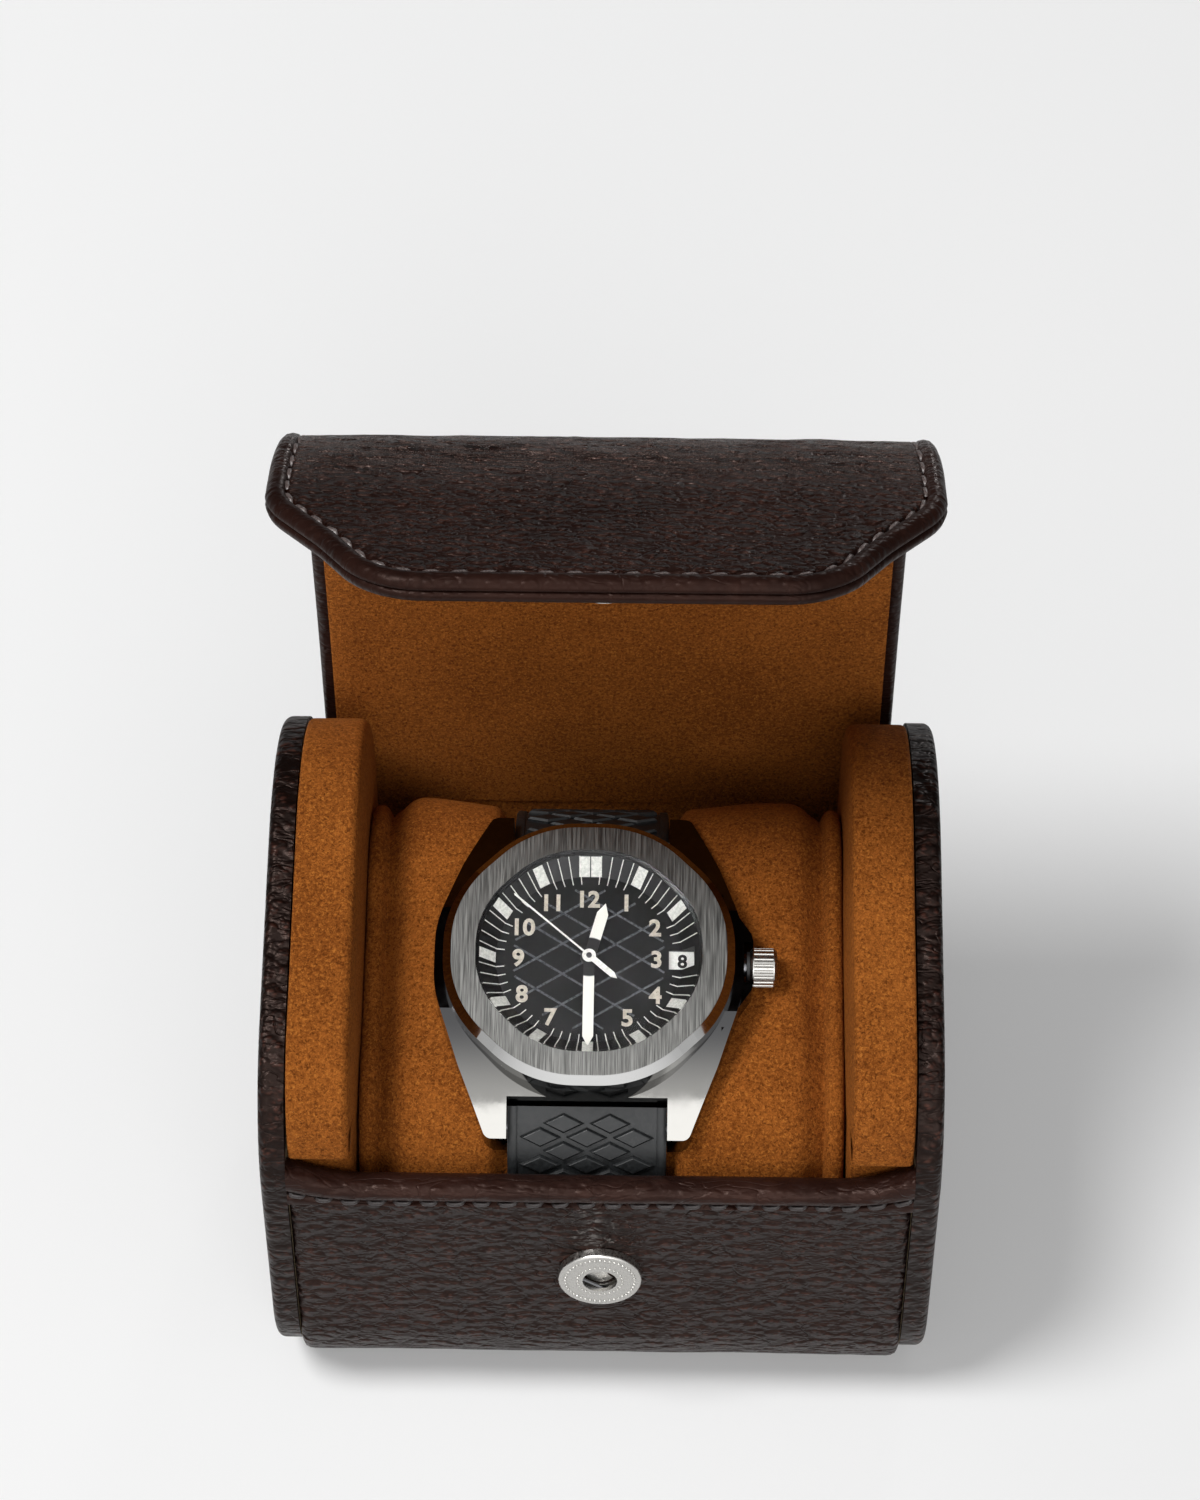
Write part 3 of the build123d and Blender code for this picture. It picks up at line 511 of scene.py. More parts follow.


# %% [markdown]
# ### Leather
# The hide is pebbled: rounded cells a millimetre or two across, parted by fine valleys, with
# longer creases that run across the case. A smooth Voronoi distance gives each cell its dome,
# and the lines where a stretched noise passes its middle give the creases. The valleys and creases
# are painted darker as painted shade, smooth leather gets an even painted shade of like depth, and
# the tops of the cells are painted paler, partly as wear and partly as painted highlight.
# Where the lid bends, wrinkles crowd together, so the lid's leather gets a second, stronger set
# there, found by UV.


# %% Leather
def make_leather(name, use="Object", across=(1.0, 1.6, 1.6), bend=None, depth=0.0004, dark=0.85,
                 cells=400):
    """Pebbled leather.

    across squeezes the grain so that it lies across the case, bend says in millimetres where the
    wrinkles of a fold start, are full, wane and end, depth is the height of the bumps, dark how
    strong the painted shade in their valleys and creases is and cells how many fit in a metre.
    """
    hide = Finish(name, srgb("241b1a"), roughness=0.34, specular_ior_level=0.2)
    hide.set("Specular Tint", (*srgb("e8c8bc"), 1))
    where = hide.coordinates(use)
    lying = hide.warped(hide.coordinates(use, scale=across), 260, 0.0022)
    pebble = hide.domes(lying, cells, 0.25, 0.2, 0.7)
    small = hide.domes(lying, 1100, 0.3)
    drawn = hide.coordinates(use, scale=tuple(1 if a == 1 else 2.2 for a in across))
    crease = hide.ridge(hide.noise(drawn, 130, 2, 0.5, 0.6), 0.03)
    sag = hide.noise(where, 90, 2)
    pores = hide.noise(where, 2600, 2)
    height = hide.total((pebble, 1.5), (small, 0.28), (crease, -0.6), (sag, 1.0), (pores, 0.05))
    if bend:
        along = hide.axis(where, "Y")
        inside = hide.between(along, *[b * MM for b in bend[:2]])
        outside = hide.between(along, *[b * MM for b in bend[2:]], 1.0, 0.0)
        mask = hide.math("MULTIPLY", inside, outside)
        lengthwise = hide.coordinates(use, scale=(1, 4, 1))
        wrinkle = hide.ridge(hide.noise(lengthwise, 150, 4, 0.55, 0.8), 0.14)
        wrinkle = hide.math("MULTIPLY", wrinkle, hide.math("MULTIPLY", mask, 2.2))
        height = hide.math("ADD", height, wrinkle)
    calm = hide.node("ShaderNodeAttribute", attribute_name="calm").outputs["Fac"]
    grain = hide.between(calm, 0.0, 1.0, 1.0, 0.18)
    hide.bump(hide.math("MULTIPLY", height, grain), depth, 1.0)
    tint = hide.between(hide.noise(where, 55, 5, 0.6), 0.32, 0.68)
    colour = hide.blend_colour(tint, srgb("2c1712"), srgb("3f251e"))
    # cell tops painted paler: partly wear, partly painted highlight
    wear_and_painted_highlight = hide.math("MULTIPLY", pebble, hide.between(hide.noise(where, 160, 3), 0.4, 0.7, 0, 0.35))
    colour = hide.blend_colour(wear_and_painted_highlight, colour, srgb("583a31"))
    # painted shade: valleys and creases darkened, and smooth (calm) leather darkened evenly to match
    painted_valley_shade = hide.math("SUBTRACT", 1.0, hide.math("MULTIPLY", pebble, small))
    low = hide.math("MAXIMUM", painted_valley_shade, crease)
    shade = hide.math("MULTIPLY", low, hide.math("MULTIPLY", grain, dark))
    shade = hide.math("MAXIMUM", shade, hide.math("MULTIPLY", calm, 0.66))
    colour = hide.blend_colour(shade, colour, srgb("0a0605"))
    hide.paint(colour)
    rough = hide.between(pores, 0.3, 0.7, 0.32, 0.42)
    if bend:
        rough = hide.math("ADD", rough, hide.math("MULTIPLY", mask, -0.13))
        gloss = hide.math("MULTIPLY_ADD", mask, 0.36, 0.12)
        hide.link(gloss, hide.shader.inputs["Specular IOR Level"])
    hide.roughen(rough)
    return hide


# dark sets the strength of the painted shade: strongest on the end panels, weakest on the lid
leather = make_leather("espresso leather")
panel_leather = make_leather("panel leather", depth=0.00014, dark=0.95)
lid_hide = make_leather("lid leather", "UV", across=(1.0, 1.5, 1.0), bend=(63, 75, 84, 100),
                        depth=0.0003, dark=0.7, cells=640)
print("leather finishes:", *[made.material.name for made in (leather, panel_leather, lid_hide)])

# %% [markdown]
# ### Suede
# Suede is a nap of tiny fibres: matt, a little lighter at a glancing angle, and patchy where it
# was brushed one way or the other. Sheen gives the pale edge. A fine, distorted noise gives the
# tufts, with a painted highlight on the fibre ends and painted shade in the spaces between tufts,
# and a broad one gives the patches.


# %% Suede
def make_suede(name, use="Object"):
    """Brushed suede; use says which coordinates its nap follows."""
    nap = Finish(name, srgb("7c4416"), roughness=0.95, specular_ior_level=0.1)
    nap.set("Sheen Weight", 0.12)
    nap.set("Sheen Roughness", 0.4)
    nap.set("Sheen Tint", (*srgb("b8742e"), 1))
    where = nap.coordinates(use)
    fibre = nap.noise(where, 2800, 2, 0.6, 1.0)
    tuft = nap.noise(where, 1500, 3, 0.6, 0.6)
    patch = nap.noise(where, 60, 3, 0.55, 0.4)
    mix = nap.between(nap.total((tuft, 0.3), (patch, 0.2), (fibre, 0.5)), 0.38, 0.62)
    colour = nap.blend_colour(mix, srgb("6a370f"), srgb("9c5a22"))
    # painted highlight on the fibre ends, and painted shade between the tufts
    painted_tip_highlight = nap.between(fibre, 0.56, 0.72, 0.0, 0.55)
    colour = nap.blend_colour(painted_tip_highlight, colour, srgb("b4742f"))
    painted_gap_shade = nap.between(fibre, 0.3, 0.44, 0.42, 0.0)
    colour = nap.blend_colour(painted_gap_shade, colour, srgb("3a1c05"))
    nap.paint(colour)
    nap.bump(nap.total((tuft, 0.4), (fibre, 0.7)), 0.0003, 0.85)
    return nap


suede = make_suede("tan suede")
lid_suede = make_suede("lid suede", "UV")
print("suede finishes:", suede.material.name, lid_suede.material.name)

# %% [markdown]
# ### Metals, rubber, glass and paint
# The watch is brushed on its flat faces and polished on its slopes. Brushing is noise pulled out
# into long lines. The watch leans, so its finishes turn the coordinates back by that lean first.

# %% Watch frame
LEAN = math.radians(16)
WATCH_AT = Vector((-1.9, -10.5095, 66.7681)) * MM
CUSHION_AT = Vector((0, -1, 33.6046)) * MM
watch_matrix = Matrix.Translation(WATCH_AT) @ Matrix.Rotation(LEAN, 4, "X")
cushion_matrix = Matrix.Translation(CUSHION_AT) @ Matrix.Rotation(LEAN, 4, "X")


def watch_coordinates(finish, scale=(1, 1, 1)):
    """Coordinates in the watch's own frame: its centre at zero, its face flat."""
    back = watch_matrix.inverted()
    turned = finish.coordinates("Object", turn=(-LEAN, 0, 0), shift=back.to_translation())
    mapping = finish.node("ShaderNodeMapping")
    mapping.inputs["Scale"].default_value = scale
    finish.link(turned, mapping.inputs["Vector"])
    return mapping.outputs["Vector"]


# %% Metals
PULL = (8000, 150, 8000)      # how the noise is squeezed, so that its bumps become long lines


def make_brushed(name, colour, shade, polished):
    """Steel brushed along the case on its flat top, polished on its slopes below that."""
    metal = Finish(name, srgb(colour), roughness=0.3, metallic=1.0)
    lines = metal.noise(watch_coordinates(metal, PULL), 1.0, 3, 0.6)
    rough = metal.between(lines, 0.3, 0.7, 0.28, 0.4)
    level = metal.axis(watch_coordinates(metal), "Z")
    brushed = metal.between(level, -0.06 * MM, -0.03 * MM)
    streaks = metal.blend_colour(metal.between(lines, 0.36, 0.64), srgb(shade), srgb(colour))
    metal.paint(metal.blend_colour(brushed, srgb(polished), streaks))
    metal.roughen(metal.math("MAXIMUM", metal.math("MULTIPLY", rough, brushed), 0.08))
    metal.bump(metal.math("MULTIPLY", lines, brushed), 0.00002, 0.5)
    return metal


def scuffed(finish, scale, low, high, depth=0.00003):
    """Fine handling marks in a metal's roughness."""
    marks = finish.noise(finish.coordinates(), scale, 4, 0.65)
    finish.roughen(finish.between(marks, 0.3, 0.75, low, high))
    finish.bump(marks, depth, 0.5)
    return finish


def bare_metal(name, colour):
    """A plain metal of one colour."""
    return Finish(name, srgb(colour), metallic=1.0)


bezel_steel = make_brushed("bezel steel", "969693", "6c6c6a", "a9a9a8")
knob_steel = scuffed(bare_metal("knob steel", "a3a19d"), 1500, 0.2, 0.34)
dark_steel = scuffed(bare_metal("pin steel", "77777a"), 1500, 0.24, 0.4)
nickel = scuffed(bare_metal("nickel plate", "bdbbb7"), 2600, 0.22, 0.42)
brass = scuffed(bare_metal("movement brass", "b59a5c"), 900, 0.28, 0.42)
print("watch metals made")

# %% Polished steel of the watch
# The case's steel is painted dark, as a painted reflection of dark surroundings, and paler towards
# the ends of the lower lugs, as a painted reflection of bright light in front. Y is down the watch.
LUG_TIPS, LUG_ROOTS = -0.021, -0.009
case_steel = scuffed(bare_metal("polished case steel", "8c8c8e"), 500, 0.06, 0.14, 0.00001)
down = case_steel.axis(watch_coordinates(case_steel), "Y")
painted_reflection_share = case_steel.between(down, LUG_TIPS, LUG_ROOTS)
# painted reflection: dark steel over the case, pale at the ends of the lower lugs
case_steel.paint(case_steel.blend_colour(painted_reflection_share, srgb("7f7e7b"), srgb("474748")))
print("lugs pale up to", LUG_TIPS, "m and dark from", LUG_ROOTS, "m")


# %% Rubber, board and foam
def speckled(name, light, dark, scale, roughness, depth, **sockets):
    """A matt material with a fine, two-coloured, slightly rough surface."""
    made = Finish(name, srgb(light), roughness=roughness, **sockets)
    grain = made.noise(made.coordinates(), scale, 4, 0.6)
    made.paint(made.blend_colour(made.between(grain, 0.35, 0.65), srgb(dark), srgb(light)))
    made.roughen(made.between(grain, 0.3, 0.7, roughness - 0.07, min(roughness + 0.07, 1.0)))
    made.bump(grain, depth, 0.6)
    return made


rubber = speckled("strap rubber", "1d1f20", "151617", 1800, 0.46, 0.00004, specular_ior_level=0.4)
board = speckled("fibreboard", "8f7f64", "74664e", 900, 0.9, 0.0001)
foam = speckled("foam", "dcd6c2", "b9b39d", 1400, 0.95, 0.0003)
seal = speckled("seal rubber", "1c1c1d", "131314", 1500, 0.6, 0.00003)
# one thread in two copies: the flap's is painted lighter as painted highlight, the hem's darker as painted shade
thread = speckled("dark thread", "6c605d", "3d3331", 5000, 0.36, 0.00006, specular_ior_level=0.7)
shaded_hem_thread = speckled("hem thread", "2f2524", "191211", 5000, 0.4, 0.00006)

# %% Glass and paint
glass = Finish("crystal", (1, 1, 1), roughness=0.0)
glass.set("Transmission Weight", 1.0)
glass.set("IOR", 1.12)
white_paint = speckled("marker white", "e6e6e0", "c9cac4", 2500, 0.35, 0.00001)
cream_paint = speckled("numeral cream", "c6bfb2", "aea698", 2500, 0.45, 0.00001)
black_paint = speckled("black print", "141414", "0c0c0c", 2500, 0.5, 0.00001)
date_paint = speckled("date white", "eeeeea", "e2e2dc", 2500, 0.5, 0.00001)
ring_black = speckled("chapter black", "161618", "0e0e10", 2500, 0.35, 0.00001)
second_paint = speckled("seconds white", "f4f4f0", "e4e4de", 2500, 0.3, 0.00001)

# %% [markdown]
# ### Hands and dial
# Each hand is bare dark metal near the middle and filled with white further out, so its paint
# follows the distance from the middle. The dial is black. The ridges that are laid on it later
# get a glossier finish painted paler than the dial, as a painted highlight along them.

# %% Hands
FILL_FROM, FILL_BLUR = 2.9 * MM, 0.0001
hand_paint = Finish("hand white", srgb("efeee6"), roughness=0.35)
flat = hand_paint.node("ShaderNodeVectorMath", operation="MULTIPLY")
hand_paint.link(watch_coordinates(hand_paint), flat.inputs[0])
flat.inputs[1].default_value = (1, 1, 0)
reach = hand_paint.node("ShaderNodeVectorMath", operation="LENGTH")
hand_paint.link(flat.outputs["Vector"], reach.inputs[0])
filled = hand_paint.between(reach.outputs["Value"], FILL_FROM - FILL_BLUR, FILL_FROM + FILL_BLUR)
hand_paint.paint(hand_paint.blend_colour(filled, srgb("2a2a2c"), srgb("efeee6")))
print("hands filled beyond", FILL_FROM / MM, "mm")


# %% Dial
dial_black = speckled("dial black", "131315", "101012", 2500, 0.52, 0.000002,
                      specular_ior_level=0.3)
# painted highlight: the ridges are painted pale grey, as light catching their edges
dial_ridge_highlight = speckled("dial ridge", "54575c", "44474c", 2500, 0.3, 0.000002)
print("dial finishes:", dial_black.material.name, dial_ridge_highlight.material.name)

# %% Finishes onto the CAD pieces
finish_of = {
    "leather": (panel_leather, "end_cover_left end_cover_right"),
    "suede": (suede, "case_lining"),
    "board": (board, "shell_board end_board_left end_board_right spine_strip lid_board bend_strip "
              "flap_board"),
    "nickel": (nickel, "snap_socket snap_rivet snap_stud stud_cap"),
    "spring_steel": (dark_steel, "snap_spring spring_bar_upper spring_bar_lower clasp_pins "
                     "hand_arbor knob_tube"),
    "strap_rubber": (rubber, "strap_upper strap_lower"),
    "watch_steel": (case_steel, "watch_middle watch_back clasp_cover"),
    "crystal": (glass, "glass"),
    "dial_black": (ring_black, "chapter_ring"),
    "movement_brass": (brass, "movement"),
    "hand_white": (hand_paint, "hour_hand minute_hand"),
    "date_white": (date_paint, "date_ring"),
    "seal_rubber": (seal, "knob_gasket"),
    "foam": (foam, "cushion_foam"),
}
for slot_name, (finish, names) in finish_of.items():
    for name in names.split():
        wear(nodes[name], finish, slot_name)
wear(nodes["bezel"], bezel_steel, "watch_steel")
wear(nodes["winding_knob"], knob_steel, "watch_steel")
wear(nodes["dial"], dial_black, "dial_black")
wear(nodes["seconds_hand"], second_paint, "hand_white")
dressed = sum(len(names.split()) for finish, names in finish_of.values()) + 4
print("CAD pieces that have a finish:", dressed)

# %% [markdown]
# ## Wrap of the case
# One hide covers the front wall, the floor and the back wall. Its ends turn in, which leaves a
# dark groove against each end panel. A grid is laid along that path, and each of its rows is a
# closed band: across the outside, round the turned edge and back across the inside.

# %% Edge of a hide
# (distance in from the edge, height of a plain edge, height of an edge with a rolled border);
# heights are from the middle of the leather sandwich, and the outside face is at 1.2
EDGE = [
    (4.4, 1.2, 1.2), (3.3, 1.2, 1.2), (3.0, 1.2, 1.1), (2.75, 1.2, 0.55), (2.5, 1.2, 1.05),
    (2.2, 1.2, 1.35), (1.5, 1.2, 1.5), (0.8, 1.1, 1.35), (0.3, 0.85, 0.9), (0.05, 0.4, 0.35),
    (0.0, 0.0, 0.0), (0.15, -0.25, -0.2), (0.5, -0.45, -0.4), (0.15, -0.65, -0.6),
    (0.0, -1.0, -1.0), (0.2, -1.6, -1.6), (0.7, -1.95, -1.95), (1.6, -2.0, -2.0),
]
FACE = 1.2
ACROSS = 36


def edge_rows(border):
    """The edge's (inset, height) rows; border goes from 0, plain, to 1, rolled."""
    return [(inset, plain + (rolled - plain) * border) for inset, plain, rolled in EDGE]


def band_section(half, border, lift):
    """Closed section across a hide; lift(x) is the face's unevenness there."""
    edge = edge_rows(border)
    reach = half - edge[0][0]
    top = [(-reach + 2 * reach * k / ACROSS) for k in range(1, ACROSS)]
    right = [(half - inset, out) for inset, out in edge]
    left = [(-x, out) for x, out in right[::-1]]
    reach = half - edge[-1][0]
    low = [(reach - 2 * reach * k / ACROSS, edge[-1][1]) for k in range(1, ACROSS)]
    return [(x, FACE + lift(x)) for x in top] + right + low + left


# %% Path of the wrap
HALF_D, FRONT_R, BACK_R, HEM_LOW, HINGE_Z = 37.5, 16.8, 17.0, 45.5, 46.0
WRAP_LEGS = [HEM_LOW - FRONT_R, FRONT_R * math.pi / 2, 2 * HALF_D - FRONT_R - BACK_R,
             BACK_R * math.pi / 2, HINGE_Z - BACK_R]


def on_wrap(s, depth=0.0):
    """Point (y, z) at a distance along the wrap from its front rim, in from its face."""
    leg = 0
    while leg < len(WRAP_LEGS) - 1 and s > WRAP_LEGS[leg]:
        s -= WRAP_LEGS[leg]
        leg += 1
    if leg == 0:
        return -HALF_D + depth, HEM_LOW - s
    if leg == 1:
        a, r = s / FRONT_R, FRONT_R - depth
        return -HALF_D + FRONT_R - r * math.cos(a), FRONT_R - r * math.sin(a)
    if leg == 2:
        return -HALF_D + FRONT_R + s, depth
    if leg == 3:
        a, r = s / BACK_R, BACK_R - depth
        return HALF_D - BACK_R + r * math.sin(a), BACK_R - r * math.cos(a)
    return HALF_D - depth, BACK_R + s


WRAP_LEN = sum(WRAP_LEGS)
print("wrap", round(WRAP_LEN, 1), "mm from front rim to hinge")

# %% Wrap
WRAP_HALF, LEATHER_T, WRAP_ROWS = 41.4, 1.2, 130


def wrap_section(s):
    """The wrap's section; its inside lies flat on the board."""
    def lift(x):
        return 0.14 * ripple(x, s, size=11) + 0.07 * ripple(x, s * 1.8, 5, size=4) - 0.1

    rows = band_section(WRAP_HALF, 0.0, lift)
    return [(x, max(out, 0.0)) for x, out in rows]


def wrap_place(u, v):
    """The floor is kept from going under the table."""
    s = WRAP_LEN * v
    section = wrap_section(s)
    x, out = section[round(u * len(section)) % len(section)]
    y, z = on_wrap(s, LEATHER_T - out)
    return (x, y, max(z, 0.0)), (x, s)


wrap = lay_grid("wrap_hide", len(wrap_section(0)), WRAP_ROWS, wrap_place, 50)
wear(wrap, leather, "leather")
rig.ride(wrap, "case")
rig.replaces(wrap, "outer_wrap")
print("wrap_hide", len(wrap.data.polygons), "faces")

# %% [markdown]
# ## The lid
# The lid is leather folded round thin boards, with suede inside. It bends in four places, so it
# is built as lengths that each cross one joint. All lengths are laid on one line, from the back
# wall over the hinge, up the panel, round the top bend and out to the flap, so they meet exactly.

# %% Line of the lid
LOW_FOLD, HIGH_FOLD, BEND_IN, BEND_OUT, TIP = 10.5, 37.1, 67.8, 86.03, 120.13
LOW_LEAN, HIGH_LEAN, TURN_OVER = 2.92, 3.08, 67.4      # degrees gained at each of them
FOLD_REACH = 4      # how far a fold's lean is spread to either side of it
LINE_STEP = 0.05
line_table = []


def heading_at(s):
    """Direction of the lid's line at a distance along it, in degrees: 90 is straight up."""
    turn = 90 + LOW_LEAN * ease((s - LOW_FOLD + FOLD_REACH) / (2 * FOLD_REACH))
    turn += HIGH_LEAN * ease((s - HIGH_FOLD + FOLD_REACH) / (2 * FOLD_REACH))
    return turn + TURN_OVER * min(max((s - BEND_IN) / (BEND_OUT - BEND_IN), 0), 1)


def trace_line():
    """Add up the headings, from where the lid's line leaves the back wall."""
    y, z, s = HALF_D - LEATHER_T, HINGE_Z, 0.0
    while s <= TIP + 1:
        line_table.append((y, z))
        a = math.radians(heading_at(s + LINE_STEP / 2))
        y += LINE_STEP * math.cos(a)
        z += LINE_STEP * math.sin(a)
        s += LINE_STEP


trace_line()


def on_lid(s, out=0.0):
    """Point (y, z) on the lid's line at s, moved out to the leather side."""
    place = s / LINE_STEP
    k = min(int(place), len(line_table) - 2)
    a, b = line_table[k], line_table[k + 1]
    h = math.radians(heading_at(s))
    y = a[0] + (b[0] - a[0]) * (place - k) + out * math.sin(h)
    z = a[1] + (b[1] - a[1]) * (place - k) - out * math.cos(h)
    return y, z


LID_HALF, WALL_FLARE, BEND_FLARE, FLAP_FLARE = 40.0, 1.4, 2.2, 0.6


def lid_half_width(s):
    """Half the lid's width; it is wide at the wall, narrow at the hinge and wide at the flap."""
    half = LID_HALF + WALL_FLARE * (1 - ease(s / 10))
    return half + BEND_FLARE * ease((s - 60) / 11) + FLAP_FLARE * ease((s - 78) / 12)


print("free edge of the lid's line:", [round(c, 2) for c in on_lid(TIP)])


# %% Leather lengths
def crumple(x, s):
    """Wrinkles of the leather face, strong round the top bend and faint elsewhere."""
    bend = ease((s - 64) / 9) * ease((95 - s) / 9)
    wander = s + 1.2 * ripple(x, s, 6, size=9)
    wrinkle = 1 - abs(ripple(x * 0.22, wander, 3, size=1.9)) * 2
    bent = 0.19 * wrinkle + 0.1 * ripple(x * 0.4, s, 9, size=3)
    return 0.12 * ripple(x, s, size=10) + bend * bent


def border_calm(inset):
    """How smooth the leather is at a distance in from its edge; it is drawn tight on the border."""
    return ease((3.1 - inset) / 0.5)


def sweep(name, start, end, step, section):
    """A closed band along the lid's line; section(s) gives its outline there."""
    count = len(section(start))
    rows = max(1, round((end - start) / step))
    sections = [section(start + (end - start) * k / rows) for k in range(rows + 1)]

    def place(u, v):
        k = round(v * rows)
        s = start + (end - start) * k / rows
        x, out = sections[k][round(u * count) % count]
        y, z = on_lid(s, out)
        return (x, y, z), (x, s, border_calm(lid_half_width(s) - abs(x)) * ease(s / 12))

    return lay_grid(name, count, rows, place, 50)


def lid_leather_section(s):
    """The lid leather's section; its border rolls as it leaves the wall."""
    half = lid_half_width(s)
    border = ease((s - 2) / 12)

    def lift(x):
        return crumple(x, s) * ease((half - abs(x) - 4) / 4)

    return band_section(half, border, lift)


# where one length ends and the next starts, and how far apart its rows are
SPLIT_LOW, SPLIT_HIGH, SPLIT_FLAP, FLAP_BACK = 23.8, 55.0, 90.2, BEND_OUT + 10.8
COARSE, FINE = 1.2, 0.55
hide = {}
for name, start, end, step in [("lid_hide_hinge_low", 0.0, SPLIT_LOW, COARSE),
                               ("lid_hide_hinge_high", SPLIT_LOW, SPLIT_HIGH, COARSE),
                               ("lid_hide_bend", SPLIT_HIGH, SPLIT_FLAP, FINE),
                               ("lid_hide_crease", SPLIT_FLAP, FLAP_BACK, FINE)]:
    hide[name] = sweep(name, start, end, step, lid_leather_section)
    wear(hide[name], lid_hide, "leather")
    print(name, len(hide[name].data.polygons), "faces")

# %% [markdown]
# ### Suede inside the lid
# The lining stops short of the edge, so a narrow border of leather shows all round.


# %% Suede lengths
SUEDE_STEPS = 24
SUEDE_IN, SUEDE_BACK, SUEDE_SIDE, SUEDE_FACE = 1.7, -1.7, -2.1, -2.35


def suede_section(s):
    """The lining's section: a face that swells a little, thin sides and a hidden back."""
    half = lid_half_width(s) - SUEDE_IN
    xs = [(-1 + 2 * k / SUEDE_STEPS) * half for k in range(SUEDE_STEPS + 1)]
    top = [(x, SUEDE_BACK) for x in xs]
    low = [(-x * (half - 0.3) / half, SUEDE_FACE + 0.12 * ripple(x, s, 4, size=9)) for x in xs]
    return top + [(half, SUEDE_SIDE)] + low + [(-half, SUEDE_SIDE)]


for name, start, end in [("lid_suede_hinge_low", 0.0, SPLIT_LOW),
                         ("lid_suede_hinge_high", SPLIT_LOW, SPLIT_HIGH),
                         ("lid_suede_bend", SPLIT_HIGH, SPLIT_FLAP)]:
    hide[name] = sweep(name, start, end, COARSE, suede_section)
    wear(hide[name], lid_suede, "suede")
    print(name, len(hide[name].data.polygons), "faces")

# %% [markdown]
# ### Flap
# The flap is a stiff pad of leather on both sides with its corners cut away. It is laid in rings:
# from the middle of the outside face to the stitch groove, over the rolled border, round the
# notched edge, and back to the middle of the inside face.

# %% Outline of the flap
FLAP_LEN, FLAP_HALF, FLAP_START = 34.1, 42.8, 10.8
flap_half = [(FLAP_HALF, FLAP_START), (42.3, 14.2), (35.3, 23.3), (28.5, FLAP_LEN)]
flap_corners = flap_half + [(-x, y) for x, y in flap_half[::-1]]
flap_ring = rounded_outline(flap_corners, [0.05, 12.0, 14.0, 12.0, 12.0, 14.0, 12.0, 0.05], 0.8)
flap_middle = Vector((0, 21.0))
flap_edge = edge_rows(1.0)
FLAP_INSIDE = -2.2
# (distance in from the outline, share of the way out to there, height); None stands for the
# distance at which the edge's rows start
flap_rows = [(None, share, FACE) for share in (0.08, 0.25, 0.42, 0.58, 0.72, 0.86)]
flap_rows += [(inset, 1, out) for inset, out in flap_edge]
flap_rows += [(None, share, FLAP_INSIDE) for share in (0.8, 0.5, 0.08)]


def on_back_edge(spot):
    """Whether a point of the outline is on the edge that meets the top bend."""
    return spot.y < FLAP_START + 0.1


def flap_spot(spot, ray, inset):
    """A point in from the flap's outline; the back edge is straight and only narrows."""
    if on_back_edge(spot):
        limit = FLAP_HALF - inset
        return Vector((max(-limit, min(limit, spot.x)), FLAP_START))
    point = spot - ray * inset
    point.y = max(point.y, FLAP_START)
    return point


def border_height(inset):
    """Height of the rolled border at a distance in from the flap's side."""
    for (far, high), (near, low) in zip(flap_edge, flap_edge[1:]):
        if near <= inset <= far:
            return low + (high - low) * (inset - near) / max(far - near, 1e-9)
    return FACE


def flap_place(u, v):
    """Rings of the flap; along its back edge the border's height follows the sides."""
    spot, ray = flap_ring[round(u * len(flap_ring)) % len(flap_ring)]
    inset, share, out = flap_rows[round(v * (len(flap_rows) - 1))]
    if inset is None:
        inset = flap_edge[0][0]
    point = flap_middle.lerp(flap_spot(spot, ray, inset), share)
    if on_back_edge(spot) and share == 1 and out > 0:
        out = border_height(FLAP_HALF - abs(point.x))
    s = BEND_OUT + point.y
    if out == FACE:
        calm = ease((FLAP_HALF - abs(point.x) - 4) / 4) * ease((FLAP_LEN - point.y - 3) / 3)
        out += crumple(point.x, s) * calm
    y, z = on_lid(s, out)
    calm = border_calm(inset) if share == 1 else 0
    if on_back_edge(spot):
        calm = border_calm(FLAP_HALF - abs(point.x))
    return (point.x, y, z), (point.x, s, calm)


# %% Flap
flap_hide = lay_grid("flap_hide", len(flap_ring), len(flap_rows) - 1, flap_place, 50)
wear(flap_hide, lid_hide, "leather")
print("flap_hide", len(flap_hide.data.polygons), "faces")


# %% Joints of the lid
def lid_point(s):
    """Point on the lid's line in metres, as a joint wants it."""
    y, z = on_lid(s)
    return (0, y * MM, z * MM)


for layer in ("hide", "suede"):
    low = hide[f"lid_{layer}_hinge_low"]
    high = hide[f"lid_{layer}_hinge_high"]
    bend = hide[f"lid_{layer}_bend"]
    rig.blend(low, "case", "hinge_band", lid_point(1.0), lid_point(20.0))
    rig.blend(high, "hinge_band", "lid", lid_point(27.6), lid_point(46.6))
    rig.blend(bend, "lid", "top_bend", lid_point(BEND_IN - 1), lid_point(BEND_OUT + 1))
    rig.replaces(low, "hinge_leather" if layer == "hide" else "hinge_lining")
    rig.replaces(high, "lid_leather" if layer == "hide" else "lid_lining")
    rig.replaces(bend, "bend_leather" if layer == "hide" else "bend_lining")
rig.blend(hide["lid_hide_crease"], "top_bend", "flap", lid_point(BEND_OUT + 6.2),
         lid_point(BEND_OUT + 10.4))
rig.ride(flap_hide, "flap")
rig.replaces(flap_hide, "flap_leather", "flap_facing")
print("lid pieces joined to their bodies:", len(hide) + 1)

# %% [markdown]
# ## Front hem
# The leather of the front wall is rolled over its top edge and sewn down in a groove. The hem
# climbs a little where it meets each end panel.

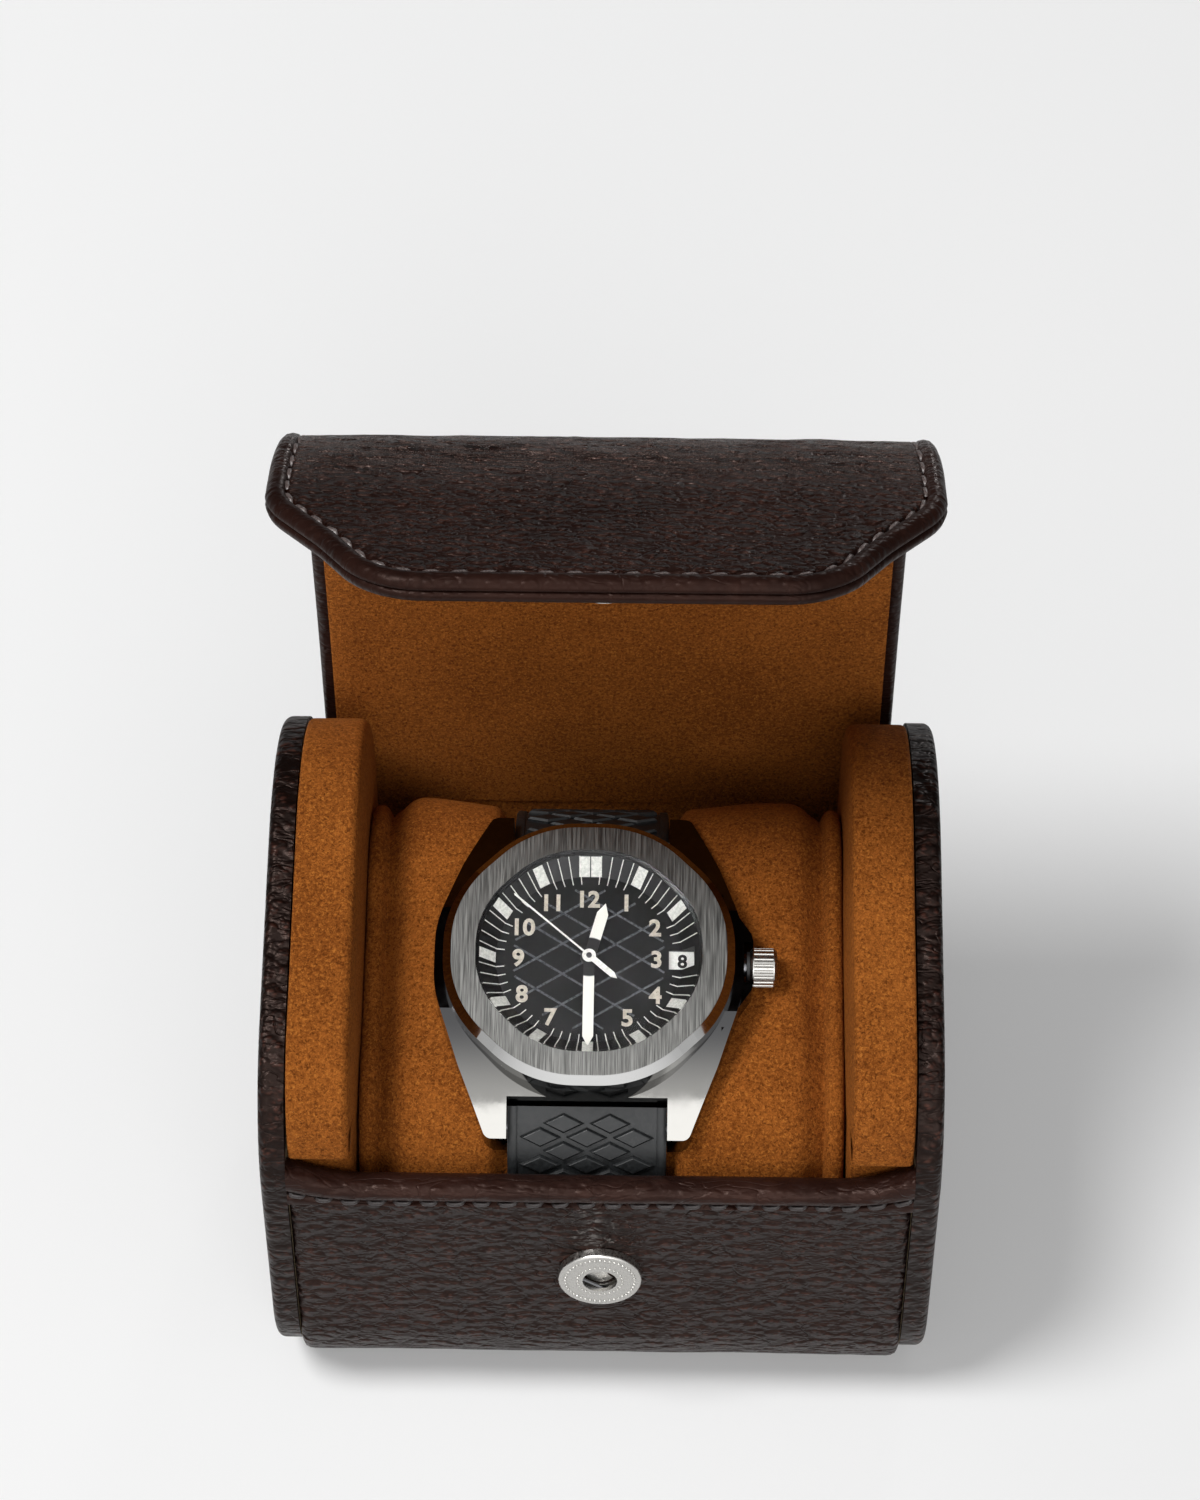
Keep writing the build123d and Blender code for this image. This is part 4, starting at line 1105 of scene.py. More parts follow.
# %% Hem
# HEM_CALM smooths the hem's grain and also sets its even painted shade in the leather's finish
HEM_TOP, HEM_HALF, SEAM_Z, HEM_CALM = 49.2, 41.5, 46.35, 0.85
HEM_CLIMB, CLIMB_FROM = 3.3, 31.5      # how far the top climbs at its ends, and from where
SEAM_RISE = 0.55      # how far the seam climbs, as a share of the hem's top
HEM_POINTS, HEM_ROWS = 21, 110


def hem_rise(x):
    """How far the hem has climbed at x."""
    return HEM_CLIMB * max(0.0, (abs(x) - CLIMB_FROM) / (HEM_HALF - CLIMB_FROM)) ** 2


def hem_place(u, v):
    """Up the outside over the stitched groove, over the rolled top and down the inside."""
    x = -HEM_HALF + 2 * HEM_HALF * v
    rise = hem_rise(x)
    top, seam = HEM_TOP + rise, SEAM_Z + SEAM_RISE * rise
    soft = 0.08 * ripple(x, 0, size=6)
    ring = [(-37.5, HEM_LOW), (-37.55, HEM_LOW + 0.1), (-37.5, seam - 0.7), (-37.05, seam - 0.5),
            (-36.6, seam - 0.2), (-37.0, seam + 0.25), (-37.5, seam + 0.5),
            (-37.8 - soft, seam + 0.8), (-37.95 - soft, seam + 1.2), (-37.95 - soft, seam + 1.7),
            (-37.8, top - 0.7), (-37.45, top - 0.3), (-36.9, top - 0.08), (-36.2, top),
            (-35.4, top - 0.06), (-34.7, top - 0.3), (-34.15, top - 0.7), (-33.85, top - 1.3),
            (-33.75, top - 2.2), (-33.75, HEM_LOW + 0.5), (-33.9, HEM_LOW)]
    y, z = ring[round(u * HEM_POINTS) % HEM_POINTS]
    return (x, y, z), (x, z + y, HEM_CALM)


hem = lay_grid("front_hem", HEM_POINTS, HEM_ROWS, hem_place, 70)
wear(hem, leather, "leather")
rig.ride(hem, "case")
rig.replaces(hem, "rim_hem")
print("front_hem", len(hem.data.polygons), "faces")

# %% [markdown]
# ## Side pads
# Each pad is foam under suede: flat where it leans on the end panel, with a crisp rolled edge
# where it shows, and a little proud in the middle. It is laid in rings, like the flap. When the
# lid shuts it presses the pads down slightly, so they squash with the lid's lower fold.

# %% Outline of a pad
PAD_OUT, PAD_SIDE, PAD_FRONT, PAD_LOW, PAD_STEP = 41.2, 33.4, 35.9, 3.7, 53.1
PANEL_FRONT, PANEL_BACK = 62.8, 87.5      # heights of the end panel
PAD_OVER = 2.3      # how far the pad's top stands over the panel's
TOP_SLOPE = (PANEL_BACK - PANEL_FRONT) / (2 * HALF_D)
pad_corners = [(-PAD_SIDE, PAD_LOW), (PAD_SIDE, PAD_LOW),
               (PAD_SIDE, PANEL_BACK + PAD_OVER - (HALF_D - PAD_SIDE) * TOP_SLOPE),
               (-PAD_FRONT, PANEL_FRONT + PAD_OVER + (HALF_D - PAD_FRONT) * TOP_SLOPE),
               (-PAD_FRONT, PAD_STEP), (-PAD_SIDE, PAD_STEP)]
pad_ring = rounded_outline(pad_corners, [13.2, 14.0, 24.8, 14.5, 0.6, 0.6], 0.9)
pad_middle = Vector((2.0, 38.0))
ROLL, PAD_T = 1.3, 8.2
# (share of the outline, distance in from it, depth from the end panel)
pad_rows = [(0.1, 4, 0.0), (0.55, 4, 0.0), (1, 1.2, 0.0), (1, 0.3, 0.1), (1, 0.05, 0.45)]
pad_rows += [(1, 0.0, 0.9 + k * 0.95) for k in range(7)]
pad_rows += [(1, ROLL * (1 - math.cos(a)), PAD_T - ROLL + ROLL * math.sin(a))
             for a in (math.radians(15 * k) for k in range(1, 7))]
pad_rows += [(1, 2.6, 8.3), (1, 4, 8.4), (0.86, 4, 8.5), (0.7, 4, 8.6), (0.5, 4, 8.65),
             (0.3, 4, 8.7), (0.1, 4, 8.7)]


def make_pad(side, name, node):
    """One padded cheek; side is -1 on the left and 1 on the right."""
    def place(u, v):
        spot, ray = pad_ring[round(u * len(pad_ring)) % len(pad_ring)]
        share, inset, depth = pad_rows[round(v * (len(pad_rows) - 1))]
        point = pad_middle.lerp(spot - ray * inset, share)
        if depth > 0.5:
            give = 0.16 * ripple(point.x, point.y, side * 3 + depth * 0.3, size=9)
            point -= ray * (abs(give) if share == 1 else 0)
            depth += give if share < 1 else 0
        return (side * (PAD_OUT - depth), point.x, point.y), (point.x, point.y + depth)

    pad = lay_grid(name, len(pad_ring), len(pad_rows) - 1, place, 60)
    wear(pad, suede, "suede")
    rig.padded(pad, fill=0.85)
    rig.ride(pad, "case")
    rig.squash(pad, "lid_fold_low", axis=(0, 0, 1), anchor=(0, 0, 0.0037), keep=0.93)
    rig.replaces(pad, node)
    print(name, len(pad.data.polygons), "faces")


make_pad(-1, "pad_left", "side_pad_left")
make_pad(1, "pad_right", "side_pad_right")

# %% [markdown]
# ## Cushion
# The cushion is a stuffed suede pillow, closed at each end by a flat panel sewn on with a raised
# welt. The strap pulls it in round its middle and the stuffing swells on both sides of the strap.

# %% Outline of the cushion
HALF_LEN, HALF_T, CORNER = 28.0, 24.5, 18.0
cushion_corners = [(-HALF_LEN, -HALF_T), (HALF_LEN, -HALF_T), (HALF_LEN, HALF_T),
                   (-HALF_LEN, HALF_T)]
cushion_ring = rounded_outline(cushion_corners, [CORNER] * 4, 1.0)
STRAP_X, STRAP_HALF, BODY_END = -1.9, 10.6, 29.2
# (distance from the middle, share of the outline, height over it) from the end panel to the body
welt = [(32.3, 0.08, -3), (32.45, 0.4, -3), (32.5, 0.75, -3), (32.5, 1, -3.4), (32.5, 1, -1.6),
        (32.5, 1, -0.6), (32.4, 1, 0.1), (32.1, 1, 0.55), (31.6, 1, 0.8), (31.1, 1, 0.82),
        (30.6, 1, 0.6), (30.2, 1, 0.1), (29.95, 1, -0.45), (29.75, 1, -0.85), (29.55, 1, -0.8)]
BODY_ROWS = 84
ALL_ROWS = 2 * len(welt) + BODY_ROWS
WELT_SWELL = 0.86      # how much of the corners' swell the end panels and their welts share
GATHER_FRONT, GATHER_BACK = 3.0, 8.0      # stuffing gathered in the two upper corners


def corner_swell(ray):
    """How far the gathered stuffing pushes the cover out in the direction of a ray."""
    gathered = GATHER_BACK if ray.x > 0 else GATHER_FRONT
    return gathered * max(0.0, abs(ray.x) * ray.y)


def swell(x, spot, ray):
    """How far the cushion stands out from its plain outline at x; most at its upper corners."""
    off = abs(x - STRAP_X) - STRAP_HALF
    if off < 0:
        return -0.1
    edge = BODY_END - abs(x)
    rise = 1.7 * ease(off / 3) * ease((edge + 1) / 5) - 0.75 * ease(1 - edge / 2.5)
    rise += corner_swell(ray) * ease(off / 2.5) * (0.5 + 0.4 * ease(off / 14))
    pucker = 0.22 * math.sin(spot.x * 0.9 + spot.y * 0.7) * ease(off / 2) * ease(1 - off / 7)
    return rise + pucker + 0.35 * ripple(x, spot.x, spot.y, size=12) * ease(off / 3)


def cushion_row(k):
    """x, share of the outline and height for one ring of the cushion."""
    if k < len(welt):
        x, share, out = welt[k]
        return -x, share, out
    if k > len(welt) + BODY_ROWS:
        return welt[ALL_ROWS - k]
    return BODY_END * (2 * (k - len(welt)) / BODY_ROWS - 1), 1, None


def cushion_place(u, v):
    """Rings of the cushion, laid in its own leaning frame."""
    spot, ray = cushion_ring[round(u * len(cushion_ring)) % len(cushion_ring)]
    x, share, out = cushion_row(round(v * ALL_ROWS))
    out = swell(x, spot, ray) if out is None else out + WELT_SWELL * corner_swell(ray)
    point = (spot + ray * out) * share
    placed = cushion_matrix @ (Vector((x, point.x, point.y)) * MM)
    return [c / MM for c in placed], (x, u * 150)


# %% Cushion
cushion = lay_grid("cushion_pillow", len(cushion_ring), ALL_ROWS, cushion_place, 70)
wear(cushion, suede, "suede")
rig.padded(cushion, fill=0.8)
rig.ride(cushion, "cushion")
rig.replaces(cushion, "cushion_cover", "cushion_cap_left", "cushion_cap_right")
print("cushion_pillow", len(cushion.data.polygons), "faces")

# %% [markdown]
# ## Marks on the watch face
# The sloping ring round the dial carries a printed line at most minutes and a pale block at each
# hour but the one with the date; the top hour has two. One line and one block are modelled, then
# stretched from the ring's inner edge to its outer edge. Both edges are rounded octagons, so each
# end is where a ray from the middle meets one.

# %% Shaping by extruding
def draw_out(piece, axis, sign, start, steps):
    """Extrude the end face along an axis, in steps of (distance, size of the new end)."""
    pick(piece)
    bpy.ops.object.mode_set(mode="EDIT")
    bpy.ops.mesh.select_all(action="DESELECT")
    bpy.ops.mesh.select_mode(type="FACE")
    bpy.ops.object.mode_set(mode="OBJECT")
    for face in piece.data.polygons:
        face.select = face.normal[axis] * sign > 0.9
    bpy.ops.object.mode_set(mode="EDIT")
    reach = start
    for push, size in steps:
        reach += push
        move = [0, 0, 0]
        move[axis] = sign * push * MM
        middle = [0, 0, 0]
        middle[axis] = sign * reach * MM
        value = [size, size, size]
        value[axis] = 1
        bpy.ops.mesh.extrude_region_move(TRANSFORM_OT_translate={"value": move})
        bpy.ops.transform.resize(value=value, center_override=middle)
    bpy.ops.object.mode_set(mode="OBJECT")


def make_block(name, size, steps):
    """A block whose top is drawn out and drawn in, sitting on its own middle."""
    deselect()
    bpy.ops.mesh.primitive_cube_add(size=1)
    block = bpy.context.object
    block.name = name
    block.scale = [c * MM for c in size]
    settle(block)
    draw_out(block, 2, 1, size[2] / 2, steps)
    return block


# %% Octagons of the dial
DIAL_Z = -3.4
SHARE = 0.41      # where a corner stands, as a share of half the width or height


def octagon(width, height, radius):
    """Outline of a rounded octagon round the watch's middle."""
    a, b = width / 2, height / 2
    corners = [(a, -b * SHARE), (a, b * SHARE), (a * SHARE, b), (-a * SHARE, b),
               (-a, b * SHARE), (-a, -b * SHARE), (-a * SHARE, -b), (a * SHARE, -b)]
    return [point for point, ray in rounded_outline(corners, [radius] * 8, 0.4)]


def crossings(outline, origin, ray):
    """Points where a line through the origin point, along the ray, meets an outline."""
    found = []
    for a, b in zip(outline, outline[1:] + outline[:1]):
        over, under = ray.cross(a - origin), ray.cross(b - origin)
        if over * under <= 0 and over != under:
            found.append(a.lerp(b, over / (over - under)))
    return found


def meet(outline, minute):
    """Where the ray to a minute mark crosses an outline."""
    angle = math.tau * minute / 60
    ray = Vector((math.sin(angle), math.cos(angle)))
    return next(spot for spot in crossings(outline, Vector((0, 0)), ray) if ray.dot(spot) > 0)


ring_low = octagon(25.0, 23.9, 11.2)
ring_high = octagon(29.5, 28.4, 12.5)
dial_inner = octagon(22.8, 21.8, 10.2)
print("ring from", round(meet(ring_low, 15).x, 2), "to", round(meet(ring_high, 15).x, 2), "mm")


# %% Lines and blocks
RING_RISE, RING_SHARE = 2.17, 0.985      # how high and how far out the marks climb the ring


def stretched(master, start, end, aside=0.0, lift=0.03):
    """A copy of a one-millimetre mark laid from one point to another in the watch's frame."""
    start, end = Vector(start), Vector(end)
    along = (end - start).normalized()
    side = Vector((0, 0, 1)).cross(along).normalized()
    up = along.cross(side)
    middle = (start + end) / 2 + side * aside + up * lift
    size = Matrix.Diagonal(((end - start).length, 1, 1, 1))
    return copy_to(master, watch_matrix @ frame_at(middle * MM, along, up) @ size)


line = make_block("line", (1.0, 0.13, 0.03), [(0.015, 0.8)])
block = make_block("block", (0.94, 1.45, 0.08), [(0.03, 0.9), (0.0, 0.8)])
DATE_MINUTES = (14, 15, 16)
lines, blocks = [], []
for minute in range(60):
    foot, head = meet(ring_low, minute), meet(ring_high, minute)
    slope = ((*foot, DIAL_Z), (*foot.lerp(head, RING_SHARE), DIAL_Z + RING_RISE))
    if minute == 0:
        blocks += [stretched(block, *slope, aside=aside) for aside in (-0.8, 0.8)]
    elif minute % 5 == 0 and minute not in DATE_MINUTES:
        blocks.append(stretched(block, *slope))
    elif minute not in DATE_MINUTES:
        lines.append(stretched(line, *slope))
        inner = meet(dial_inner, minute)
        lines.append(stretched(line, (*inner, DIAL_Z), (*foot, DIAL_Z)))
minute_lines = join("minute_lines", lines)
hour_blocks = join("hour_blocks", blocks)
for piece in (minute_lines, hour_blocks):
    wear(piece, white_paint, "hand_white")
    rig.ride(piece, "cushion")
    print(piece.name, len(piece.data.polygons), "faces")
bpy.data.objects.remove(line)
bpy.data.objects.remove(block)

# %% [markdown]
# ### Ridges
# The dial is struck with low ridges that cross in diamonds. A ridge is one block whose top is
# narrower than its foot, stretched from edge to edge like the lines.

# %% Ridges of the dial
RIDGE_PITCH, RIDGE_LEAN, RIDGE_TOP, RIDGES_A_SIDE = 4.4, 0.62, 0.3, 3
ridge = make_block("ridge", (1.0, 0.34, 0.08), [])
for vertex in ridge.data.vertices:
    if vertex.co.z > 0:
        vertex.co.y *= RIDGE_TOP
ridge_edge = octagon(20.4, 20.4, 9.0)
ridges = []
for lean in (-RIDGE_LEAN, RIDGE_LEAN):
    for k in range(-RIDGES_A_SIDE, RIDGES_A_SIDE + 1):
        ends = crossings(ridge_edge, Vector((0, k * RIDGE_PITCH)), Vector((1, lean)))
        if len(ends) > 1:
            ridges.append(stretched(ridge, (*ends[0], DIAL_Z), (*ends[-1], DIAL_Z)))
dial_ridges = join("dial_ridges", ridges)
bpy.data.objects.remove(ridge)
wear(dial_ridges, dial_ridge_highlight, "dial_black")
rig.ride(dial_ridges, "cushion")
print("dial_ridges", len(ridges), "ridges,", RIDGE_PITCH, "mm apart")


# %% [markdown]
# ### Numbers
# The hours and the dates are plain text made a mesh. The dates ride on the date ring, and only
# one of them shows in the window.

# %% Numerals
BOLD = 0.03      # outline pushed out, as a share of the height
THICK = 0.02


def numeral(text, size, spot, turn=0.0):
    """A number as a thin mesh lying in the watch's frame, centred on a spot."""
    deselect()
    bpy.ops.object.text_add()
    made = bpy.context.object
    made.data.body = text
    made.data.size = size * MM
    made.data.extrude = THICK * MM
    made.data.offset = BOLD * size * MM
    made.data.resolution_u = 4
    made.data.align_x = "CENTER"
    made.data.align_y = "CENTER"
    bpy.ops.object.convert(target="MESH")
    low = [min(v.co[i] for v in made.data.vertices) for i in range(2)]
    high = [max(v.co[i] for v in made.data.vertices) for i in range(2)]
    centre = Matrix.Translation((-(low[0] + high[0]) / 2, -(low[1] + high[1]) / 2, 0))
    made.data.transform(centre)
    place = Matrix.Translation(Vector(spot) * MM) @ Matrix.Rotation(turn, 4, "Z")
    made.matrix_world = watch_matrix @ place
    return made


HOUR_SIZE, HOUR_LIFT = 3.3, 0.1
numeral_spots = {"12": (0, 8.7), "1": (4.9, 8.2), "2": (8.8, 4.6), "3": (9.0, 0),
                 "4": (8.9, -5.2), "5": (5.2, -8.5), "7": (-5.0, -8.5), "8": (-8.9, -5.2),
                 "9": (-9.5, 0), "10": (-8.7, 4.5), "11": (-5.1, 8.1)}
made = [numeral(text, HOUR_SIZE, (x, y, DIAL_Z + HOUR_LIFT))
        for text, (x, y) in numeral_spots.items()]
numerals = join("hour_numerals", made)
wear(numerals, cream_paint, "hand_white")
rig.ride(numerals, "cushion")
print("hour_numerals", len(numerals.data.polygons), "faces")

# %% Dates
DATE_R, DATE_Z, DATE_SIZE, DATE_SHOWN, DAYS = 12.5, -3.95, 2.6, 8, 31
made = []
for day in range(1, DAYS + 1):
    turn = math.tau * (day - DATE_SHOWN) / DAYS
    spot = (DATE_R * math.cos(turn), DATE_R * math.sin(turn), DATE_Z + THICK)
    made.append(numeral(str(day), DATE_SIZE, spot, turn))
dates = join("date_numerals", made)
wear(dates, black_paint, "date_white")
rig.ride(dates, "date_ring")
print("date_numerals", len(dates.data.polygons), "faces")

# %% [markdown]
# ## Strap
# The strap is moulded rubber with a raised rim and rows of small diamonds. One diamond is made
# from a four-sided cylinder whose top is drawn in, then copied along the strap as it goes round
# the cushion.

# %% Path of the strap
STRAP_R, STRAP_MID = 20.9, -34.5
STRAP_LEGS = [10.0, STRAP_R * math.pi / 2, 13.0, STRAP_R * math.pi / 2, 10.0]


def on_strap(d):
    """Point (y, z) and outward normal on the front half of the strap, d from its top middle."""
    flat, arc, side = STRAP_LEGS[:3]
    if d < flat + arc:
        a = max(0.0, d - flat) / STRAP_R
        base = (min(d, flat), side / 2)
    elif d < flat + arc + side:
        a = math.pi / 2
        base = (flat, side / 2 - (d - flat - arc))
    else:
        a = math.pi / 2 + min(d - flat - arc - side, arc) / STRAP_R
        base = (flat - max(0.0, d - flat - 2 * arc - side), -side / 2)
    ray = (math.sin(a), math.cos(a))
    point = (-(base[0] + STRAP_R * ray[0]), STRAP_MID + base[1] + STRAP_R * ray[1])
    return point, (-ray[0], ray[1])


STRAP_FROM, STRAP_TO = 21.4, 86.0
print("strap runs", STRAP_FROM, "to", STRAP_TO, "of", round(sum(STRAP_LEGS), 1), "mm on each side")

# %% Diamonds
DIAMOND_FOOT, DIAMOND_PITCH, DIAMOND_AWAY = 0.5, 1.9, 3.1
deselect()
bpy.ops.mesh.primitive_cylinder_add(vertices=4, radius=1.0 * MM, depth=DIAMOND_FOOT * MM)
diamond = bpy.context.object
diamond.scale = (2.75, 1.35, 1)
settle(diamond)
draw_out(diamond, 2, 1, DIAMOND_FOOT / 2, [(0.3, 0.86), (0.05, 0.92)])
count = int((STRAP_TO - STRAP_FROM) / DIAMOND_PITCH) + 1
rows = [STRAP_FROM + DIAMOND_PITCH * k for k in range(count)]
for half, name in ((1, "strap_diamonds_lower"), (-1, "strap_diamonds_upper")):
    made = []
    for k, d in enumerate(rows):
        (y, z), (ny, nz) = on_strap(d)
        for step in ((-2, 0, 2) if k % 2 else (-1, 1)):
            spot = Vector((step * DIAMOND_AWAY, y * half, z)) * MM
            turn = frame_at(spot, (1, 0, 0), (0, ny * half, nz))
            made.append(copy_to(diamond, watch_matrix @ turn))
    piece = join(name, made)
    wear(piece, rubber, "strap_rubber")
    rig.ride(piece, "cushion")
    print(name, len(made), "diamonds")
bpy.data.objects.remove(diamond)


# %% Raised rims of the strap
RIM_X, RIM_ROWS, RIM_UV = 9.9, 60, 65
RIM_FROM, RIM_LEN = STRAP_FROM - 2.2, STRAP_TO - STRAP_FROM + 4
rim_section = [(0.6, -0.1), (0.55, 0.22), (0.35, 0.3), (-0.35, 0.3), (-0.55, 0.22), (-0.6, -0.1)]


def rim(name, half, x):
    """A low rim along one edge of one strap half."""
    def place(u, v):
        (y, z), (ny, nz) = on_strap(RIM_FROM + RIM_LEN * v)
        dx, out = rim_section[round(u * len(rim_section)) % len(rim_section)]
        placed = watch_matrix @ (Vector((x + dx, (y + ny * out) * half, z + nz * out)) * MM)
        return [c / MM for c in placed], (x + dx, v * RIM_UV)

    piece = lay_grid(name, len(rim_section), RIM_ROWS, place, 40)
    wear(piece, rubber, "strap_rubber")
    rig.ride(piece, "cushion")


for half, end in ((1, "lower"), (-1, "upper")):
    for x, side in ((-RIM_X, "left"), (RIM_X, "right")):
        rim(f"strap_rim_{end}_{side}", half, x)
print("strap rims: 4, each", round(RIM_LEN, 1), "mm long")

# %% [markdown]
# ## Snap
# The socket's face is struck with a ring of small dots near its edge and a finer ring round its
# hole. Each dot is a short cylinder with its top drawn in to a dome.

# %% Dots on the snap
SNAP_Z, SNAP_FACE, DOT_FOOT = 30.7, -38.9, 0.1
made = []
for count, ring_r, dot_r in ((44, 4.7, 0.25), (28, 3.05, 0.19)):
    deselect()
    bpy.ops.mesh.primitive_cylinder_add(vertices=6, radius=dot_r * MM, depth=DOT_FOOT * MM)
    dot = bpy.context.object
    settle(dot)
    draw_out(dot, 2, 1, DOT_FOOT / 2, [(0.06, 0.8), (0.04, 0.5)])
    for k in range(count):
        a = math.tau * k / count
        spot = (ring_r * math.cos(a) * MM, SNAP_FACE * MM, (SNAP_Z + ring_r * math.sin(a)) * MM)
        made.append(copy_to(dot, frame_at(spot, (1, 0, 0), (0, -1, 0))))
    bpy.data.objects.remove(dot)
snap_dots = join("snap_dots", made)
smooth(snap_dots, 60)
wear(snap_dots, nickel, "nickel")
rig.ride(snap_dots, "case")
print("snap_dots", len(made), "dots")

# %% [markdown]
# ## Stitches
# A stitch is a short thread that dives into the leather at both ends. One is modelled from a thin
# cylinder with drawn-out ends, then copied along each row. Every copy has few faces, because
# there are many.

# %% One stitch
CORE, SHOULDER, DIP, DIVE = 1.0, 1.1, 0.12, 0.42
deselect()
bpy.ops.mesh.primitive_cylinder_add(vertices=6, radius=0.4 * MM, depth=CORE * MM,
                                    rotation=(0, math.pi / 2, 0))
stitch = bpy.context.object
settle(stitch)
for sign in (1, -1):
    draw_out(stitch, 0, sign, CORE / 2, [(0.4, 0.9), (0.35, 0.6)])
for vertex in stitch.data.vertices:
    far = abs(vertex.co.x) / MM
    if far > CORE / 2 + 0.1:
        vertex.co.z -= DIP * MM if far < SHOULDER else DIVE * MM
smooth(stitch, 60)
print("stitch", round(stitch.dimensions.x / MM, 2), "mm,", len(stitch.data.polygons), "faces")


# %% Rows of stitches
STITCH_PITCH, SLANT, UNEVEN, STRETCH = 3.5, 0.14, 0.1, 1.15


def stitch_row(name, spots, finish=thread):
    """Copies of the stitch at (position, direction, up), with the position in millimetres."""
    copies = []
    for spot, along, up in spots:
        slant = Matrix.Rotation(SLANT + random.uniform(-UNEVEN, UNEVEN), 4, "Z")
        size = Matrix.Diagonal((random.uniform(1.0, STRETCH), 1, 1, 1))
        copies.append(copy_to(stitch, frame_at(Vector(spot) * MM, along, up) @ slant @ size))
    row = join(name, copies)
    wear(row, finish, "leather")
    print(name, len(spots), "stitches")
    return row


# %% Stitches on the hem
HEM_STITCHES, HEM_REACH, HEM_GROOVE_Y, HEM_DROP = 24, 40.2, -37.4, 0.3
spots = []
for k in range(HEM_STITCHES):
    x = -HEM_REACH + 2 * HEM_REACH * k / (HEM_STITCHES - 1)
    climb = SEAM_RISE * (hem_rise(x + 0.5) - hem_rise(x - 0.5))
    z = SEAM_Z - HEM_DROP + SEAM_RISE * hem_rise(x)
    spots.append(((x, HEM_GROOVE_Y, z), (1, 0, climb), (0, -1, 0)))
hem_row = stitch_row("hem_stitches", spots, shaded_hem_thread)
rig.ride(hem_row, "case")

# %% Stitches on the flap
GROOVE_IN, GROOVE_OUT = 2.75, 0.85
track = [spot - ray * GROOVE_IN for spot, ray in flap_ring if not on_back_edge(spot)]
so_far = [0.0]
for a, b in zip(track, track[1:]):
    so_far.append(so_far[-1] + (b - a).length)


def on_track(distance):
    """Point and direction at a distance along the flap's stitch groove."""
    k = next(k for k in range(1, len(track)) if so_far[k] >= distance)
    part = (distance - so_far[k - 1]) / max(so_far[k] - so_far[k - 1], 1e-9)
    return track[k - 1].lerp(track[k], part), (track[k] - track[k - 1]).normalized()


flap_heading = math.radians(heading_at(TIP))
flap_on = Vector((0, math.cos(flap_heading), math.sin(flap_heading)))
flap_up = Vector((0, math.sin(flap_heading), -math.cos(flap_heading)))
spots = []
count = round(so_far[-1] / STITCH_PITCH)
for k in range(count):
    spot, way = on_track(so_far[-1] * (k + 0.5) / count)
    y, z = on_lid(BEND_OUT + spot.y, GROOVE_OUT)
    spots.append(((spot.x, y, z), Vector((way.x, 0, 0)) + flap_on * way.y, flap_up))
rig.ride(stitch_row("flap_stitches", spots), "flap")


# %% Stitches along the lid's sides
def side_stitches(name, start, end, bodies, blend_from, blend_to):
    """A row on each side of the lid between two distances along its line."""
    spots = []
    count = round((end - start) / STITCH_PITCH)
    for side in (-1, 1):
        for k in range(count):
            s = start + (end - start) * (k + 0.5) / count
            y, z = on_lid(s, GROOVE_OUT)
            a = math.radians(heading_at(s))
            spots.append(((side * (lid_half_width(s) - GROOVE_IN), y, z),
                          (0, math.cos(a), math.sin(a)), (0, math.sin(a), -math.cos(a))))
    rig.blend(stitch_row(name, spots), *bodies, lid_point(blend_from), lid_point(blend_to))


side_stitches("bend_stitches", 55.5, 90.0, ("lid", "top_bend"), BEND_IN - 1, BEND_OUT + 1)
side_stitches("crease_stitches", 90.2, 96.8, ("top_bend", "flap"), BEND_OUT + 6.2,
              BEND_OUT + 10.4)
side_stitches("hinge_high_stitches", 24.0, 55.0, ("hinge_band", "lid"), 27.6, 46.6)
side_stitches("hinge_low_stitches", 13.5, 23.5, ("case", "hinge_band"), 1.0, 20.0)
bpy.data.objects.remove(stitch)

# %% [markdown]
# ## Studio
# A pale floor, a large soft lamp up on the left and weaker ones round about. The room is bright
# above and in front and dark behind, which gives the metal and the leather's edges something to
# reflect. The camera stands in front and looks down at 48 degrees.

# %% Camera
camera_data = bpy.data.cameras.new("camera")
camera_data.lens = 99.36
camera_data.sensor_width = 36
camera_data.clip_end = 10
camera = bpy.data.objects.new("camera", camera_data)
bpy.context.collection.objects.link(camera)
camera.location = (0.00506, -0.35986, 0.49454)
camera.rotation_euler = (math.radians(42), 0, math.radians(0.9))
bpy.context.scene.camera = camera
print("camera", round(camera.location.length, 3), "m from the case")


# %% Lamps
def lamp(name, spot, target, size, power):
    """A round soft lamp at a spot, aimed at a target."""
    data = bpy.data.lights.new(name, "AREA")
    data.shape = "DISK"
    data.size = size
    data.energy = power
    made = bpy.data.objects.new(name, data)
    bpy.context.collection.objects.link(made)
    made.location = spot
    made.rotation_euler = (Vector(target) - Vector(spot)).to_track_quat("-Z", "Y").to_euler()
    print(name, power, "W")


lamp("key lamp", (-0.56, -0.26, 1.22), (0, 0, 0.05), 0.46, 13.5)
lamp("front lamp", (0.2, -1.2, 0.8), (0, 0, 0.05), 0.8, 4.0)
lamp("rim lamp", (0.25, 1.0, 0.3), (0, 0, 0.12), 0.12, 0.7)

# %% [markdown]
# ### Floor and room
# The floor is plain paper. Some of what the camera, the metal and the glass see of it is
# even white, so it stays pale while it still takes the shadow. Gloss sees the floor behind the
# case darker, as it would see the dark back of a room.


